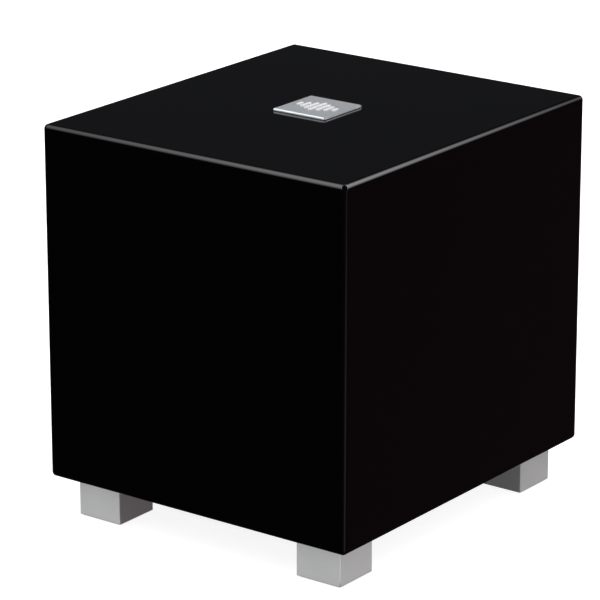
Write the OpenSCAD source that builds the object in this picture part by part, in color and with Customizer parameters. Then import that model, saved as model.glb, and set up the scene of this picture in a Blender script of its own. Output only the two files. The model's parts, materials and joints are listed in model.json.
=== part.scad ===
// Compact down-firing powered subwoofer: a lacquered sealed box on four square metal feet, with an
// 8 inch driver in its floor and a plate amplifier in its back. X is width, Y runs from front to back,
// Z is up. The origin is on the floor, under the middle of the overall box. Millimetres.

/* [Cabinet] */
// Outside width of the wooden box
cabinet_w = 267; // [264:1:280]
// Outside depth of the wooden box
cabinet_d = 299; // [295:1:310]
// Height of the wooden box, without the feet
cabinet_h = 268; // [266:1:280]
// Thickness of the walls
wall = 18; // [17:0.5:18]
// Thickness of the floor board that carries the driver
floor_board = 22; // [22:0.5:24]
// Radius of the rounded outside edges
edge_r = 3.5; // [1:0.5:5]

/* [Feet] */
// Side of each square foot
foot_w = 38.5; // [34:0.5:40]
// Gap between the floor and the wooden box
foot_h = 32; // [30:1:40]
// How far each foot stands in from the sides of the box
foot_inset_x = 14.4; // [12:0.1:18]
// How far each foot stands in from the front and the back
foot_inset_y = 15.5; // [12:0.1:18]
// How far the rubber pad stands proud of the foot
pad_proud = 0.8; // [0.5:0.1:2]

/* [Badge] */
// Side of the square metal badge
badge_w = 46; // [40:1:60]
// Thickness of the badge with its adhesive pad
badge_h = 2; // [1.6:0.1:3]

/* [Driver] */
// Outer radius of the driver's flange
flange_r = 105; // [104:0.5:106]
// Furthest that the cone moves each way
excursion = 10; // [4:1:10]
// Number of flange screws
driver_screw_count = 8; // [4:1:10]
// Number of windows in the basket
basket_windows = 6; // [6:1:6]

/* [Amplifier] */
// Width of the amplifier's panel
panel_w = 194; // [190:1:200]
// Height of the amplifier's panel
panel_h = 222; // [220:1:224]
// Thickness of the amplifier's panel
panel_t = 3; // [2:0.5:3]
// How far the controls and fins stand out of the back
rear_depth = 12; // [12:0.5:14]
// Number of fins on the heat sink
fin_count = 20; // [10:1:24]
// Radius of the control knobs
knob_r = 8.5; // [8:0.5:9]

/* [Hidden] */
$fn = 96;
eps = 0.5;               // how far a cutter runs past the surface that it opens

// Where the box stands. The box and what stands out of its back share the overall depth equally.
box_z0 = foot_h;
box_z1 = foot_h + cabinet_h;
box_y0 = -(cabinet_d + rear_depth) / 2;
box_y1 = box_y0 + cabinet_d;
box_cy = (box_y0 + box_y1) / 2;
box_cz = (box_z0 + box_z1) / 2;
inner_w = cabinet_w - 2 * wall;
inner_d = cabinet_d - 2 * wall;
inner_y0 = box_y0 + wall;
inner_y1 = box_y1 - wall;
board_z1 = box_z0 + floor_board;
ceiling_z = box_z1 - wall;

// Feet
foot_x = cabinet_w / 2 - foot_inset_x - foot_w / 2;
foot_y = cabinet_d / 2 - foot_inset_y - foot_w / 2;
foot_edge_r = 0.9;
pad_w = foot_w - 2.4;
pad_t = 2;
pad_gap = 0.1;
bolt_r = 3;              // M6
bolt_head_r = 5;
bolt_head_h = 6;
bolt_head_z = 20;        // where the head bears in its counterbore
bolt_length = 24;
insert_r = 4.5;
insert_length = 14;

// Driver, measured up from the box's underside
driver_z = box_z0;
rebate_r = flange_r + 1.5;
rebate_depth = 6;
cutout_r = 92;
flange_t = 2;
flange_z = driver_z + 2; // the flange's outside face
gasket_z = flange_z + flange_t;
gasket_t = rebate_depth - (gasket_z - driver_z);
screw_circle_r = 98.5;
screw_r = 2.1;
sheet = 1.8;             // basket sheet
roll_r = 7;
roll_centre_r = 79;
surround_t = 1;
cone_rim_r = roll_centre_r - roll_r;
cone_lip_r = 66;
cone_t = 1.1;
former_r = 20.1;
former_t = 0.5;
cone_neck_z = driver_z + 35.1;
cap_r = 34;
cap_dish = 7;            // depth of the inverted dust cap
ledge_z = driver_z + 40; // where the spider lands
ledge_in_r = 51.2;
ledge_out_r = 62.5;
top_plate_z = driver_z + 54;
top_plate_t = 8;
plate_r = 50;
gap_r = 22.3;
pole_r = 18.8;
vent_r = 7;
magnet_t = 20;
magnet_r = 60;
magnet_in_r = 30;
yoke_t = 8;
coil_r = 21.5;
coil_length = 20;

// Amplifier, which the back wall carries in a rebate
panel_z = box_cz;
panel_y1 = box_y1;
panel_y0 = box_y1 - panel_t;
panel_corner_r = 5;
panel_gasket_t = 1;
opening_w = panel_w - 22;
opening_h = panel_h - 22;
outer_y = box_y1 + rear_depth;
panel_screw_x = panel_w / 2 - 5.5;
panel_screw_z = panel_h / 2 - 5.5;

// Rows of controls and sockets, as heights above the floor
control_z = panel_z + 84;
socket_z = panel_z + 42;
sink_z = panel_z - 18;
mains_z = panel_z - 80;
knob_x = [62, 24, -14];  // high level, low level, crossover
lever_x = -50;
led_x = -76;
phono_x = [70, 50, 24];
speaker_x = -45;
inlet_x = 45;
rocker_x = -40;

// Potentiometers and knobs
bush_r = 3.5;
shaft_r = 3;
shaft_gap = 0.05;
bush_y1 = panel_y1 + 3.5;
nut_t = 2;
knob_y0 = panel_y1 + 0.8;
pot_y1 = panel_y0 - 2.3;
pot_depth = 7.5;
preamp_y1 = pot_y1 - pot_depth - 1.6;
pcb_t = 1.6;

// Phase switch
lever_tilt = 12;
lever_pivot_y = panel_y1 - 1.5;
lever_bush_r = 3.2;
lever_bush_in_r = 2.6;
lever_pin_r = 0.6;
lever_pin_l = 5.6;

// Power switch
rocker_w = 11.2;
rocker_swing_r = 8.6;
rocker_tilt = 7;
rocker_pivot_y = panel_y1 - 1;
rocker_pin_r = 1.2;
switch_w = 13.6;
switch_h = 19.6;

// Mains inlet and fuse drawer
inlet_flange_t = 2.5;
inlet_w = 27;
inlet_z0 = mains_z - 17;
inlet_z1 = mains_z + 15;
inlet_back_y = panel_y1 - 17.5;
cavity_w = 24.2;
cavity_h = 16.4;
cavity_z = mains_z + 5;
cavity_floor_y = panel_y1 - 14.5;
drawer_w = 24;
drawer_h = 7;
drawer_z = mains_z - 11;
drawer_length = 15;
fuse_r = 2.5;
fuse_length = 20;

// Sockets
phono_r = 4.15;
phono_in_r = 3.4;
phono_hole_r = 1.6;
phono_y1 = panel_y1 + 10;
speaker_r = 11.9;
speaker_in_r = 10.6;
speaker_core_r = 4.8;
speaker_y1 = panel_y1 + 2.5;
speaker_floor_y = speaker_y1 - 20;

// Inside the amplifier
board_y1 = panel_y0 - 21.5;
board_y0 = board_y1 - pcb_t;
board_x = [8, 84];
board_z = [panel_z - 68, panel_z + 26];
toroid_x = -38;
toroid_z = panel_z - 26;
toroid_r = 42;
toroid_in_r = 12;
toroid_t = 34;
toroid_pad_t = 2;
toroid_y1 = panel_y0 - toroid_pad_t;
toroid_y0 = toroid_y1 - toroid_t;

// Free-hand wire routes: round numbers, in the part's own frame
tinsel_route = [[9, 38.5, 50.7], [11, 48, 57], [13.5, 57, 58.5], [15.5, 67, 60], [16.5, 74, 63.5],
    [14, 77.5, 64.5], [9, 75.3, 61.9]];
lead_r = 1.3;
up = [0, 0, 1];
rear = [0, 1, 0];
front = [0, -1, 0];
// Each loose wire: the way it leaves its first end, its points, and the way it enters its last end
loom_routes = [
    [undef, [[6, 74.8, 63.1], [6.5, 79, 68], [8, 87, 76], [10.5, 99, 90], [11.3, 109, 104],
        [11.3, 113, 115], [11.3, 113, 123.9]], up],
    [undef, [[-6, 74.8, 63.1], [-5, 80, 68], [0, 90, 75], [9, 103, 88], [14.5, 111.5, 103],
        [14.7, 113, 115], [14.7, 113, 123.9]], up],
    [front, [[38, 119.9, 89], [36, 113, 87], [18, 110, 80], [-15, 112, 77], [-36, 117, 79],
        [-40, 122.4, 80]], rear],
    [front, [[-40, 122.4, 92], [-39, 115, 93], [-33, 112, 90], [-26.5, 115, 93],
        off_transformer(287, 119)], off_transformer_way(107)],
    [front, [[52, 119.9, 89], [50, 108, 86], [20, 103, 82], [-20, 105, 84], [-42, 108, 87],
        [-48, 113, 91], off_transformer(257, 118)], off_transformer_way(77)],
    [front, [[45, 119.9, 93], [44, 112, 94], [30, 110, 92], [14, 116, 87], [5, 125, 84],
        [4, 132.9, 84]], rear],
    [off_transformer_way(28), [off_transformer(28, 113), [4, 109, 163], [9, 107, 163],
        [11.5, 108.5, 164.5], [11.5, 109, 167.9]], up],
    [off_transformer_way(41), [off_transformer(41, 113), [-2, 107, 171], [6, 102, 169],
        [15, 105, 163], [16, 109, 167.9]], up],
    [front, [[-41, 123.4, 208], [-40, 118, 209], [-34, 116, 216], [-30, 120, 226], [-30, 127.4, 228]],
        rear],
    [front, [[-49, 123.4, 208], [-49, 117, 210], [-46, 115, 217], [-39, 120, 228], [-38, 127.4, 230]],
        rear]
];

// Point a little off the transformer's rim, and the way outward from its axis there
function off_transformer_way(a) = [cos(a), 0, sin(a)];
function off_transformer(a, y) =
    [toroid_x + (toroid_r + 0.1) * cos(a), y, toroid_z + (toroid_r + 0.1) * sin(a)];

// ---------------------------------------------------------------- shared shapes

// Flat rectangle with round corners, centred
module rounded_rect(w, h, r) {
    square([w - 2 * r, h], center = true);
    square([w, h - 2 * r], center = true);
    for (x = [-1, 1], y = [-1, 1])
        translate([x * (w / 2 - r), y * (h / 2 - r)])
            circle(r);
}

// Upright block with round vertical edges, standing on z = 0
module rounded_block(w, d, h, r) {
    linear_extrude(h)
        rounded_rect(w, d, r);
}

// Box with every edge and corner rounded, centred: three crossed boxes, a bar along each edge, and a
// ball at each corner
module soft_box(w, d, h, r) {
    cube([w, d - 2 * r, h - 2 * r], center = true);
    cube([w - 2 * r, d, h - 2 * r], center = true);
    cube([w - 2 * r, d - 2 * r, h], center = true);
    for (x = [-1, 1], y = [-1, 1])
        translate([x * (w / 2 - r), y * (d / 2 - r), 0])
            cylinder(h - 2 * r, r = r, center = true);
    for (x = [-1, 1], z = [-1, 1])
        translate([x * (w / 2 - r), 0, z * (h / 2 - r)])
            rotate([90, 0, 0])
                cylinder(d - 2 * r, r = r, center = true);
    for (y = [-1, 1], z = [-1, 1])
        translate([0, y * (d / 2 - r), z * (h / 2 - r)])
            rotate([0, 90, 0])
                cylinder(w - 2 * r, r = r, center = true);
    for (x = [-1, 1], y = [-1, 1], z = [-1, 1])
        translate([x * (w / 2 - r), y * (d / 2 - r), z * (h / 2 - r)])
            sphere(r);
}

module tube(r_out, r_in, h) {
    difference() {
        cylinder(h, r = r_out);
        translate([0, 0, -eps])
            cylinder(h + 2 * eps, r = r_in);
    }
}

// Puts children at a point on the back of the box, with their +Z pointing rearward
module rearward(x, y, z) {
    translate([x, y, z])
        rotate([-90, 0, 0])
            children();
}

// Box between two corners
module block(low, high) {
    translate(low)
        cube(high - low);
}

// Children repeated around the driver's axis
module around_driver(count, first = 0) {
    for (i = [0:count - 1])
        translate([0, box_cy, 0])
            rotate(first + i * 360 / count)
                children();
}

// Wedge of a disc, centred on the X axis, spanning the given angle
module sector(r, angle, h) {
    linear_extrude(h)
        polygon([[0, 0], r * [cos(-angle / 2), sin(-angle / 2)], r * [cos(0), 0] * 1.04,
            r * [cos(angle / 2), sin(angle / 2)]]);
}

// Points of an arc from one angle to another
function arc(cx, cy, r, from, to, n = 16) =
    [for (i = [0:n]) let (a = from + (to - from) * i / n) [cx + r * cos(a), cy + r * sin(a)]];

function reversed(list) = [for (i = [len(list) - 1:-1:0]) list[i]];

function unit(v) = v / norm(v);

// Smooth curve through the given points, with n steps between each two
function spline(p, n = 4) =
    let (last = len(p) - 1)
    [for (i = [0:last - 1], k = [0:n - (i == last - 1 ? 0 : 1)])
        let (t = k / n, a = p[max(i - 1, 0)], b = p[i], c = p[i + 1], d = p[min(i + 2, last)])
        0.5 * (2 * b + (c - a) * t + (2 * a - 5 * b + 4 * c - d) * t * t
            + (3 * b - a - 3 * c + d) * t * t * t)];

function heading(p, i) = unit(p[min(i + 1, len(p) - 1)] - p[max(i - 1, 0)]);

// Round wire of radius r along a route, with its ends cut square to the given ways
module wire(route, r, first = undef, last = undef, sides = 8) {
    path = spline(route);
    rings = len(path);
    points = [for (i = [0:rings - 1])
        let (end = i == 0 ? first : i == rings - 1 ? last : undef,
            h = is_undef(end) ? heading(path, i) : end,
            u = unit(cross(h, [0.2, 0.1, 1])), v = cross(h, u))
        for (s = [0:sides - 1]) path[i] + r * (cos(360 * s / sides) * u + sin(360 * s / sides) * v)];
    walls = [for (i = [0:rings - 2], s = [0:sides - 1])
        let (a = i * sides + s, b = i * sides + (s + 1) % sides)
        [a, a + sides, b + sides, b]];
    start_cap = [[for (s = [0:sides - 1]) s]];
    end_cap = [[for (s = [sides - 1:-1:0]) (rings - 1) * sides + s]];
    polyhedron(points, concat(walls, start_cap, end_cap));
}

module mirrored_x() {
    children();
    mirror([1, 0, 0])
        children();
}

// ---------------------------------------------------------------- cabinet

module cabinet_shell() {
    color([0.02, 0.02, 0.022])
        difference() {
            translate([0, box_cy, box_cz])
                soft_box(cabinet_w, cabinet_d, cabinet_h, edge_r);
            block([-inner_w / 2, inner_y0, box_z0 - eps], [inner_w / 2, inner_y1, ceiling_z]);
            // the amplifier's opening, and the rebate that its panel and gasket lie in
            block([-opening_w / 2, inner_y1 - eps, panel_z - opening_h / 2],
                [opening_w / 2, box_y1 + eps, panel_z + opening_h / 2]);
            rearward(0, panel_y0 - panel_gasket_t, panel_z)
                rounded_block(panel_w + 0.6, panel_h + 0.6, panel_t + panel_gasket_t + eps, panel_corner_r);
            panel_screw_places()
                translate([0, 0, -15])
                    cylinder(15 + eps, r = 1.95);
        }
}

module base_panel() {
    color([0.05, 0.05, 0.05])
        difference() {
            block([-inner_w / 2, inner_y0, box_z0], [inner_w / 2, inner_y1, board_z1]);
            translate([0, box_cy, box_z0 - eps])
                cylinder(floor_board + 2 * eps, r = cutout_r);
            translate([0, box_cy, box_z0 - eps])
                cylinder(rebate_depth + eps, r = rebate_r);
            around_driver(driver_screw_count)
                translate([screw_circle_r, 0, driver_z])
                    cylinder(floor_board - 1.5, r = screw_r + 0.05);
            foot_places()
                translate([0, 0, box_z0 - eps])
                    cylinder(insert_length + 1 + eps, r = insert_r);
        }
}

// Board across the middle of the box, above the magnet, with a large window in it
module cabinet_brace() {
    brace_t = 15;
    brace_z0 = box_z0 + 108;
    rim = 30;
    brace_h = ceiling_z - brace_z0;
    color([0.62, 0.47, 0.32])
        difference() {
            block([-inner_w / 2, box_cy - brace_t / 2 - 0.5, brace_z0],
                [inner_w / 2, box_cy + brace_t / 2 - 0.5, ceiling_z]);
            translate([0, box_cy + brace_t, brace_z0 + brace_h / 2])
                rotate([90, 0, 0])
                    rounded_block(inner_w - 2 * rim, brace_h - 2 * rim, 2 * brace_t, 20);
        }
}

// Soft lining on the inside of the two sides and the front, in front of the brace
module wadding() {
    pad = 18;
    gap = 0.3;
    z0 = board_z1 + 6;
    z1 = ceiling_z - 6;
    color([0.85, 0.85, 0.82]) {
        mirrored_x()
            block([inner_w / 2 - pad, inner_y0 + pad + 6, z0], [inner_w / 2 - gap, box_cy - 18, z1]);
        block([-inner_w / 2 + pad + 6, inner_y0 + gap, z0], [inner_w / 2 - pad - 6, inner_y0 + pad, z1]);
    }
}

// ---------------------------------------------------------------- badge

badge_pad_t = 0.4;
badge_plate_t = badge_h - badge_pad_t;

// Adhesive pad under the plate, set in from its edge
module badge_pad() {
    color([0.03, 0.03, 0.03])
        translate([0, box_cy, box_z1])
            rounded_block(badge_w - 2.4, badge_w - 2.4, badge_pad_t, 0.6);
}

// Square plate with a chamfer round its face
module badge_plate() {
    chamfer = 0.8;
    profile = [[-badge_w / 2, 0], [badge_w / 2, 0], [badge_w / 2, badge_plate_t - chamfer],
        [badge_w / 2 - chamfer, badge_plate_t], [-badge_w / 2 + chamfer, badge_plate_t],
        [-badge_w / 2, badge_plate_t - chamfer]];
    color([0.68, 0.69, 0.71])
        translate([0, box_cy, box_z1 + badge_pad_t])
            intersection() {
                rounded_block(badge_w, badge_w, badge_plate_t, 0.8);
                translate([0, badge_w / 2, 0])
                    rotate([90, 0, 0])
                        linear_extrude(badge_w)
                            polygon(profile);
                translate([-badge_w / 2, 0, 0])
                    rotate([90, 0, 90])
                        linear_extrude(badge_w)
                            polygon(profile);
            }
}

// Raised level bars, tallest in the middle
module badge_emblem() {
    bars = [7, 12, 17, 22, 17, 12, 7];
    pitch = 5.2;
    bar_w = 2.6;
    raise = 0.4;
    color([0.85, 0.86, 0.88])
        for (i = [0:len(bars) - 1])
            translate([(i - (len(bars) - 1) / 2) * pitch, box_cy, box_z1 + badge_h])
                rounded_block(bar_w, bars[i], raise, bar_w / 2 - 0.05);
}

// ---------------------------------------------------------------- feet

module foot_places() {
    for (x = [-1, 1], y = [-1, 1])
        translate([x * foot_x, box_cy + y * foot_y, 0])
            children();
}

// One foot: a solid block with a counterbored hole for its bolt and a shallow seat for its pad
module foot(side, end) {
    color([0.68, 0.68, 0.69])
        translate([side * foot_x, box_cy + end * foot_y, 0])
            difference() {
                translate([0, 0, pad_proud])
                    rounded_block(foot_w, foot_w, foot_h - pad_proud, foot_edge_r);
                rounded_block(pad_w, pad_w, pad_t, foot_edge_r);
                cylinder(bolt_head_z, r = bolt_head_r + 0.8);
                cylinder(foot_h + eps, r = bolt_r + 0.3);
            }
}

module foot_front_left() foot(-1, -1);
module foot_front_right() foot(1, -1);
module foot_rear_left() foot(-1, 1);
module foot_rear_right() foot(1, 1);

module foot_pads() {
    color([0.06, 0.06, 0.06])
        foot_places()
            rounded_block(pad_w - 2 * pad_gap, pad_w - 2 * pad_gap, pad_t, foot_edge_r);
}

module foot_bolts() {
    socket_r = 2.9;
    color([0.45, 0.45, 0.47])
        foot_places()
            difference() {
                union() {
                    translate([0, 0, bolt_head_z - bolt_head_h])
                        cylinder(bolt_head_h, r = bolt_head_r);
                    translate([0, 0, bolt_head_z - eps])
                        cylinder(bolt_length + eps, r = bolt_r);
                }
                translate([0, 0, bolt_head_z - bolt_head_h - eps])
                    cylinder(bolt_head_h / 2 + eps, r = socket_r, $fn = 6);
            }
}

module foot_inserts() {
    color([0.78, 0.62, 0.3])
        foot_places()
            translate([0, 0, box_z0])
                tube(insert_r, bolt_r + 0.05, insert_length);
}

// ---------------------------------------------------------------- driver

// Pressed frame: flange, sloping wall with windows, ledge for the spider, and neck to the magnet
module driver_basket() {
    neck_z = top_plate_z;
    outside = [[flange_r, gasket_z], [90.5, gasket_z], [88, driver_z + 20], [64, ledge_z + 0.2],
        [ledge_out_r, ledge_z + sheet], [ledge_in_r + sheet, ledge_z + sheet],
        [ledge_in_r + sheet, neck_z], [24, neck_z]];
    inside = [[24, neck_z - sheet], [ledge_in_r, neck_z - sheet], [ledge_in_r, ledge_z],
        [ledge_out_r - 1, ledge_z], [ledge_out_r, ledge_z - 1.2], [86, driver_z + 19.2],
        [88.6, flange_z], [flange_r, flange_z]];
    window = 44;
    vent = 34;
    color([0.07, 0.07, 0.07])
        difference() {
            translate([0, box_cy, 0])
                rotate_extrude()
                    polygon(concat(outside, inside));
            around_driver(basket_windows)
                translate([0, 0, driver_z + 22])
                    difference() {
                        sector(100, window, ledge_z - driver_z - 24);
                        translate([0, 0, -eps])
                            cylinder(60, r = ledge_out_r + 0.8);
                    }
            around_driver(basket_windows)
                translate([0, 0, ledge_z + sheet + 1.5])
                    difference() {
                        sector(60, vent, neck_z - ledge_z - 2 * sheet - 3);
                        translate([0, 0, -eps])
                            cylinder(20, r = ledge_in_r - 4);
                    }
            around_driver(driver_screw_count)
                translate([screw_circle_r, 0, flange_z - eps])
                    cylinder(flange_t + 2 * eps, r = screw_r + 0.5);
        }
}

module driver_gasket() {
    color([0.1, 0.1, 0.1])
        difference() {
            translate([0, box_cy, gasket_z])
                tube(flange_r, cutout_r + 1, gasket_t);
            around_driver(driver_screw_count)
                translate([screw_circle_r, 0, gasket_z - eps])
                    cylinder(gasket_t + 2 * eps, r = screw_r + 0.5);
        }
}

module driver_screws() {
    head_h = 2.6;
    color([0.12, 0.12, 0.12])
        around_driver(driver_screw_count)
            translate([screw_circle_r, 0, flange_z - head_h])
                difference() {
                    union() {
                        cylinder(head_h, r1 = 3.4, r2 = 4.3);
                        translate([0, 0, head_h - eps])
                            cylinder(18 + eps, r = screw_r);
                    }
                    for (a = [0, 90])
                        rotate(a)
                            translate([-2.4, -0.5, -eps])
                                cube([4.8, 1, 1.4 + eps]);
                }
}

// Rubber ring that clamps the outer lip of the surround on the flange
module driver_trim_ring() {
    color([0.05, 0.05, 0.05])
        translate([0, box_cy, 0])
            rotate_extrude()
                polygon([[86.5, flange_z - surround_t], [86.5, driver_z + 0.2], [93.5, driver_z + 0.2],
                    [94, driver_z + 0.7], [94, flange_z], [92.2, flange_z], [92.2, flange_z - surround_t]]);
}

// Half-roll rubber edge between the flange and the cone
module driver_surround() {
    base_z = flange_z - surround_t;
    outer = concat([[92, base_z + surround_t], [92, base_z]],
        arc(roll_centre_r, base_z, roll_r, 0, -180, 20),
        [[cone_lip_r, base_z], [cone_lip_r, base_z + surround_t]]);
    inner = concat([[cone_rim_r + surround_t, base_z + surround_t]],
        reversed(arc(roll_centre_r, base_z, roll_r - surround_t, 0, -180, 20)),
        [[roll_centre_r + roll_r - surround_t, base_z + surround_t]]);
    color([0.05, 0.05, 0.05])
        translate([0, box_cy, 0])
            rotate_extrude()
                polygon(concat(outer, inner));
}

module driver_cone() {
    color([0.09, 0.09, 0.1])
        translate([0, box_cy, 0])
            rotate_extrude()
                polygon([[cone_rim_r, flange_z], [cone_rim_r, flange_z + cone_t],
                    [cone_lip_r + 0.3, flange_z + cone_t], [former_r + 0.6, cone_neck_z],
                    [former_r, cone_neck_z], [former_r, cone_neck_z - 1.4], [cone_lip_r - 0.4, flange_z]]);
}

// Inverted dish over the neck of the cone, glued at its rim to the cone's face
module dust_cap() {
    slope = (cone_neck_z - flange_z - cone_t) / (cone_lip_r - former_r);
    rim_z = flange_z + (cone_lip_r - 0.6 - cap_r) * slope - 0.9;
    ball_r = (cap_r * cap_r + cap_dish * cap_dish) / (2 * cap_dish);
    half = asin(cap_r / ball_r);
    centre_z = rim_z + cap_dish - ball_r;
    cap_t = 0.6;
    color([0.3, 0.31, 0.33])
        translate([0, box_cy, 0])
            rotate_extrude()
                polygon(concat(arc(0, centre_z, ball_r, 90, 90 - half, 10),
                    arc(0, centre_z, ball_r - cap_t, 90 - half, 90, 10)));
}

module coil_former() {
    color([0.72, 0.45, 0.16])
        translate([0, box_cy, cone_neck_z - 6])
            tube(former_r, former_r - former_t, 40);
}

module voice_coil() {
    color([0.72, 0.38, 0.2])
        translate([0, box_cy, top_plate_z + top_plate_t / 2 - coil_length / 2])
            tube(coil_r, former_r, coil_length);
}

// Corrugated cloth disc that centres the coil
module driver_spider() {
    t = 0.7;
    land_r = ledge_out_r - 1.4;
    wave_in = 25;
    wave_out = 53;
    ripples = 4;
    height = 1.7;
    steps = 48;
    mid_z = ledge_z - t;
    wave = [for (i = [0:steps]) let (r = wave_in + (wave_out - wave_in) * i / steps)
        [r, mid_z - height * (1 - cos(360 * ripples * i / steps)) / 2]];
    color([0.72, 0.58, 0.3])
        translate([0, box_cy, 0])
            rotate_extrude()
                polygon(concat([[former_r, mid_z], [wave_in - 0.5, mid_z]], wave,
                    [[land_r, mid_z], [land_r, mid_z + t]], reversed([for (p = wave) p + [0, t]]),
                    [[former_r, mid_z + t]]));
}

module magnet_top_plate() {
    color([0.5, 0.5, 0.52])
        translate([0, box_cy, top_plate_z])
            tube(plate_r, gap_r, top_plate_t);
}

module magnet() {
    color([0.16, 0.16, 0.17])
        translate([0, box_cy, top_plate_z + top_plate_t])
            tube(magnet_r, magnet_in_r, magnet_t);
}

module pole_piece() {
    yoke_z = top_plate_z + top_plate_t + magnet_t;
    color([0.5, 0.5, 0.52])
        translate([0, box_cy, 0])
            rotate_extrude()
                polygon([[vent_r, top_plate_z], [pole_r, top_plate_z], [pole_r, yoke_z],
                    [plate_r, yoke_z], [plate_r, yoke_z + yoke_t - 1.5],
                    [plate_r - 1.5, yoke_z + yoke_t], [vent_r, yoke_z + yoke_t]]);
}

// Small board with two tabs, riveted on the spoke that points rearward
module driver_terminals() {
    tab_x = 7;
    color([0.75, 0.6, 0.3])
        translate([0, box_cy + 77.6, driver_z + 28.8])
            rotate([-40, 0, 0]) {
                translate([-10, -6, 0])
                    cube([20, 12, 1.6]);
                for (x = [-tab_x, tab_x])
                    translate([x - 1.6, -3, 1.6])
                        cube([3.2, 8, 0.8]);
                translate([0, 0, -2.6])
                    cylinder(5, r = 1.5);
            }
}

module tinsel_leads() {
    color([0.75, 0.55, 0.35])
        mirrored_x()
            wire(tinsel_route, 0.7);
}

// ---------------------------------------------------------------- amplifier panel

// Children at each of the panel's edge screws
module panel_screw_places() {
    for (side = [-1, 1], row = [-1, -1 / 3, 1 / 3, 1])
        rearward(side * panel_screw_x, panel_y1, panel_z + row * panel_screw_z)
            children();
    for (row = [-1, 1])
        rearward(0, panel_y1, panel_z + row * panel_screw_z)
            children();
}

sink_w = 156;
sink_h = 72;
sink_base = 3;
fin_t = 2;
fin_pitch = (sink_w - fin_t) / (fin_count - 1);

// Children at each of the heat sink's four screws, which stand between fins
module sink_screw_places() {
    for (side = [-1, 1], row = [-1, 1])
        rearward(side * (sink_w / 2 - fin_t / 2 - 1.5 * fin_pitch), panel_y1 + sink_base,
            sink_z + row * (sink_h / 2 - 6))
            children();
}

module amp_panel() {
    color([0.06, 0.06, 0.065])
        difference() {
            rearward(0, panel_y0, panel_z)
                rounded_block(panel_w, panel_h, panel_t, panel_corner_r);
            panel_screw_places()
                translate([0, 0, -panel_t - eps])
                    cylinder(panel_t + 2 * eps, r = 2.2);
            sink_screw_places()
                translate([0, 0, -sink_base - panel_t - eps])
                    cylinder(panel_t + 2 * eps, r = 1.5);
            for (x = knob_x)
                panel_hole(x, control_z, bush_r + 0.1);
            panel_hole(lever_x, control_z, lever_bush_r + 0.1);
            panel_hole(led_x, control_z, 2.5);
            for (x = phono_x)
                panel_hole(x, socket_z, phono_r + 0.1);
            panel_hole(speaker_x, socket_z, speaker_r + 0.1);
            rearward(toroid_x, panel_y0, toroid_z)
                translate([0, 0, -eps])
                    cylinder(panel_t + 2 * eps, r1 = bolt_r + 0.15 - eps, r2 = 2 * bolt_r + 0.15 + eps);
            block([inlet_x - inlet_w / 2 - 0.2, panel_y0 - eps, inlet_z0 - 0.2],
                [inlet_x + inlet_w / 2 + 0.2, panel_y1 + eps, inlet_z1 + 0.2]);
            block([rocker_x - switch_w / 2 - 0.1, panel_y0 - eps, mains_z - switch_h / 2 - 0.1],
                [rocker_x + switch_w / 2 + 0.1, panel_y1 + eps, mains_z + switch_h / 2 + 0.1]);
        }
}

module panel_hole(x, z, r) {
    rearward(x, panel_y0 - eps, z)
        cylinder(panel_t + 2 * eps, r = r);
}

module panel_gasket() {
    color([0.08, 0.08, 0.08])
        difference() {
            rearward(0, panel_y0 - panel_gasket_t, panel_z)
                difference() {
                    rounded_block(panel_w, panel_h, panel_gasket_t, panel_corner_r);
                    translate([0, 0, -eps])
                        linear_extrude(panel_gasket_t + 2 * eps)
                            square([opening_w, opening_h], center = true);
                }
            panel_screw_places()
                translate([0, 0, -10])
                    cylinder(10, r = 2.2);
        }
}

// Pan head screw along +Z with its head's bearing face at z = 0 and a cross recess
module pan_screw(r, head_r, head_h, length) {
    difference() {
        union() {
            cylinder(head_h, r1 = head_r, r2 = head_r * 0.72);
            translate([0, 0, -length])
                cylinder(length + eps, r = r);
        }
        for (a = [0, 90])
            rotate(a)
                translate([-head_r / 2, -0.45, head_h * 0.45])
                    cube([head_r, 0.9, head_h]);
    }
}

module panel_screws() {
    color([0.12, 0.12, 0.12]) {
        panel_screw_places()
            pan_screw(1.9, 3.8, 2.4, 14);
        sink_screw_places()
            pan_screw(1.45, 2.6, 1.8, sink_base + panel_t);
    }
}

module heat_sink() {
    color([0.07, 0.07, 0.075])
        difference() {
            union() {
                block([-sink_w / 2, panel_y1, sink_z - sink_h / 2],
                    [sink_w / 2, panel_y1 + sink_base, sink_z + sink_h / 2]);
                for (i = [0:fin_count - 1])
                    block([-sink_w / 2 + i * fin_pitch, panel_y1 + sink_base - eps, sink_z - sink_h / 2],
                        [-sink_w / 2 + i * fin_pitch + fin_t, outer_y, sink_z + sink_h / 2]);
            }
            sink_screw_places()
                translate([0, 0, -sink_base - eps])
                    cylinder(sink_base + 2 * eps, r = 1.6);
        }
}

// ---------------------------------------------------------------- controls

// Turned knob with a grip that tapers, a hollow underside over the nut, and a pointer groove
module knob(x) {
    h = outer_y - knob_y0;
    grip_y = 2.2;
    hollow_r = 6.6;
    hollow_h = 3.4;
    bore_h = 8.4;
    flutes = 24;
    color([0.05, 0.05, 0.05])
        rearward(x, knob_y0, control_z)
            difference() {
                rotate_extrude()
                    polygon([[0, hollow_h], [hollow_r, hollow_h], [hollow_r, 0], [knob_r, 0],
                        [knob_r, grip_y],
                        [knob_r - 0.6, grip_y + 0.4], [knob_r - 1.1, h - 0.8], [knob_r - 1.9, h], [0, h]]);
                translate([0, 0, hollow_h - eps])
                    cylinder(bore_h - hollow_h + eps, r = shaft_r + 0.02);
                for (i = [0:flutes - 1])
                    rotate((i + 0.5) * 360 / flutes)
                        translate([knob_r - 0.35, 0, grip_y + 0.8])
                            cylinder(h - grip_y - 2.4, r = 0.7);
                translate([-0.5, -knob_r, h - 0.7])
                    cube([1, knob_r - 1.5, 1]);
            }
}

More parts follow.
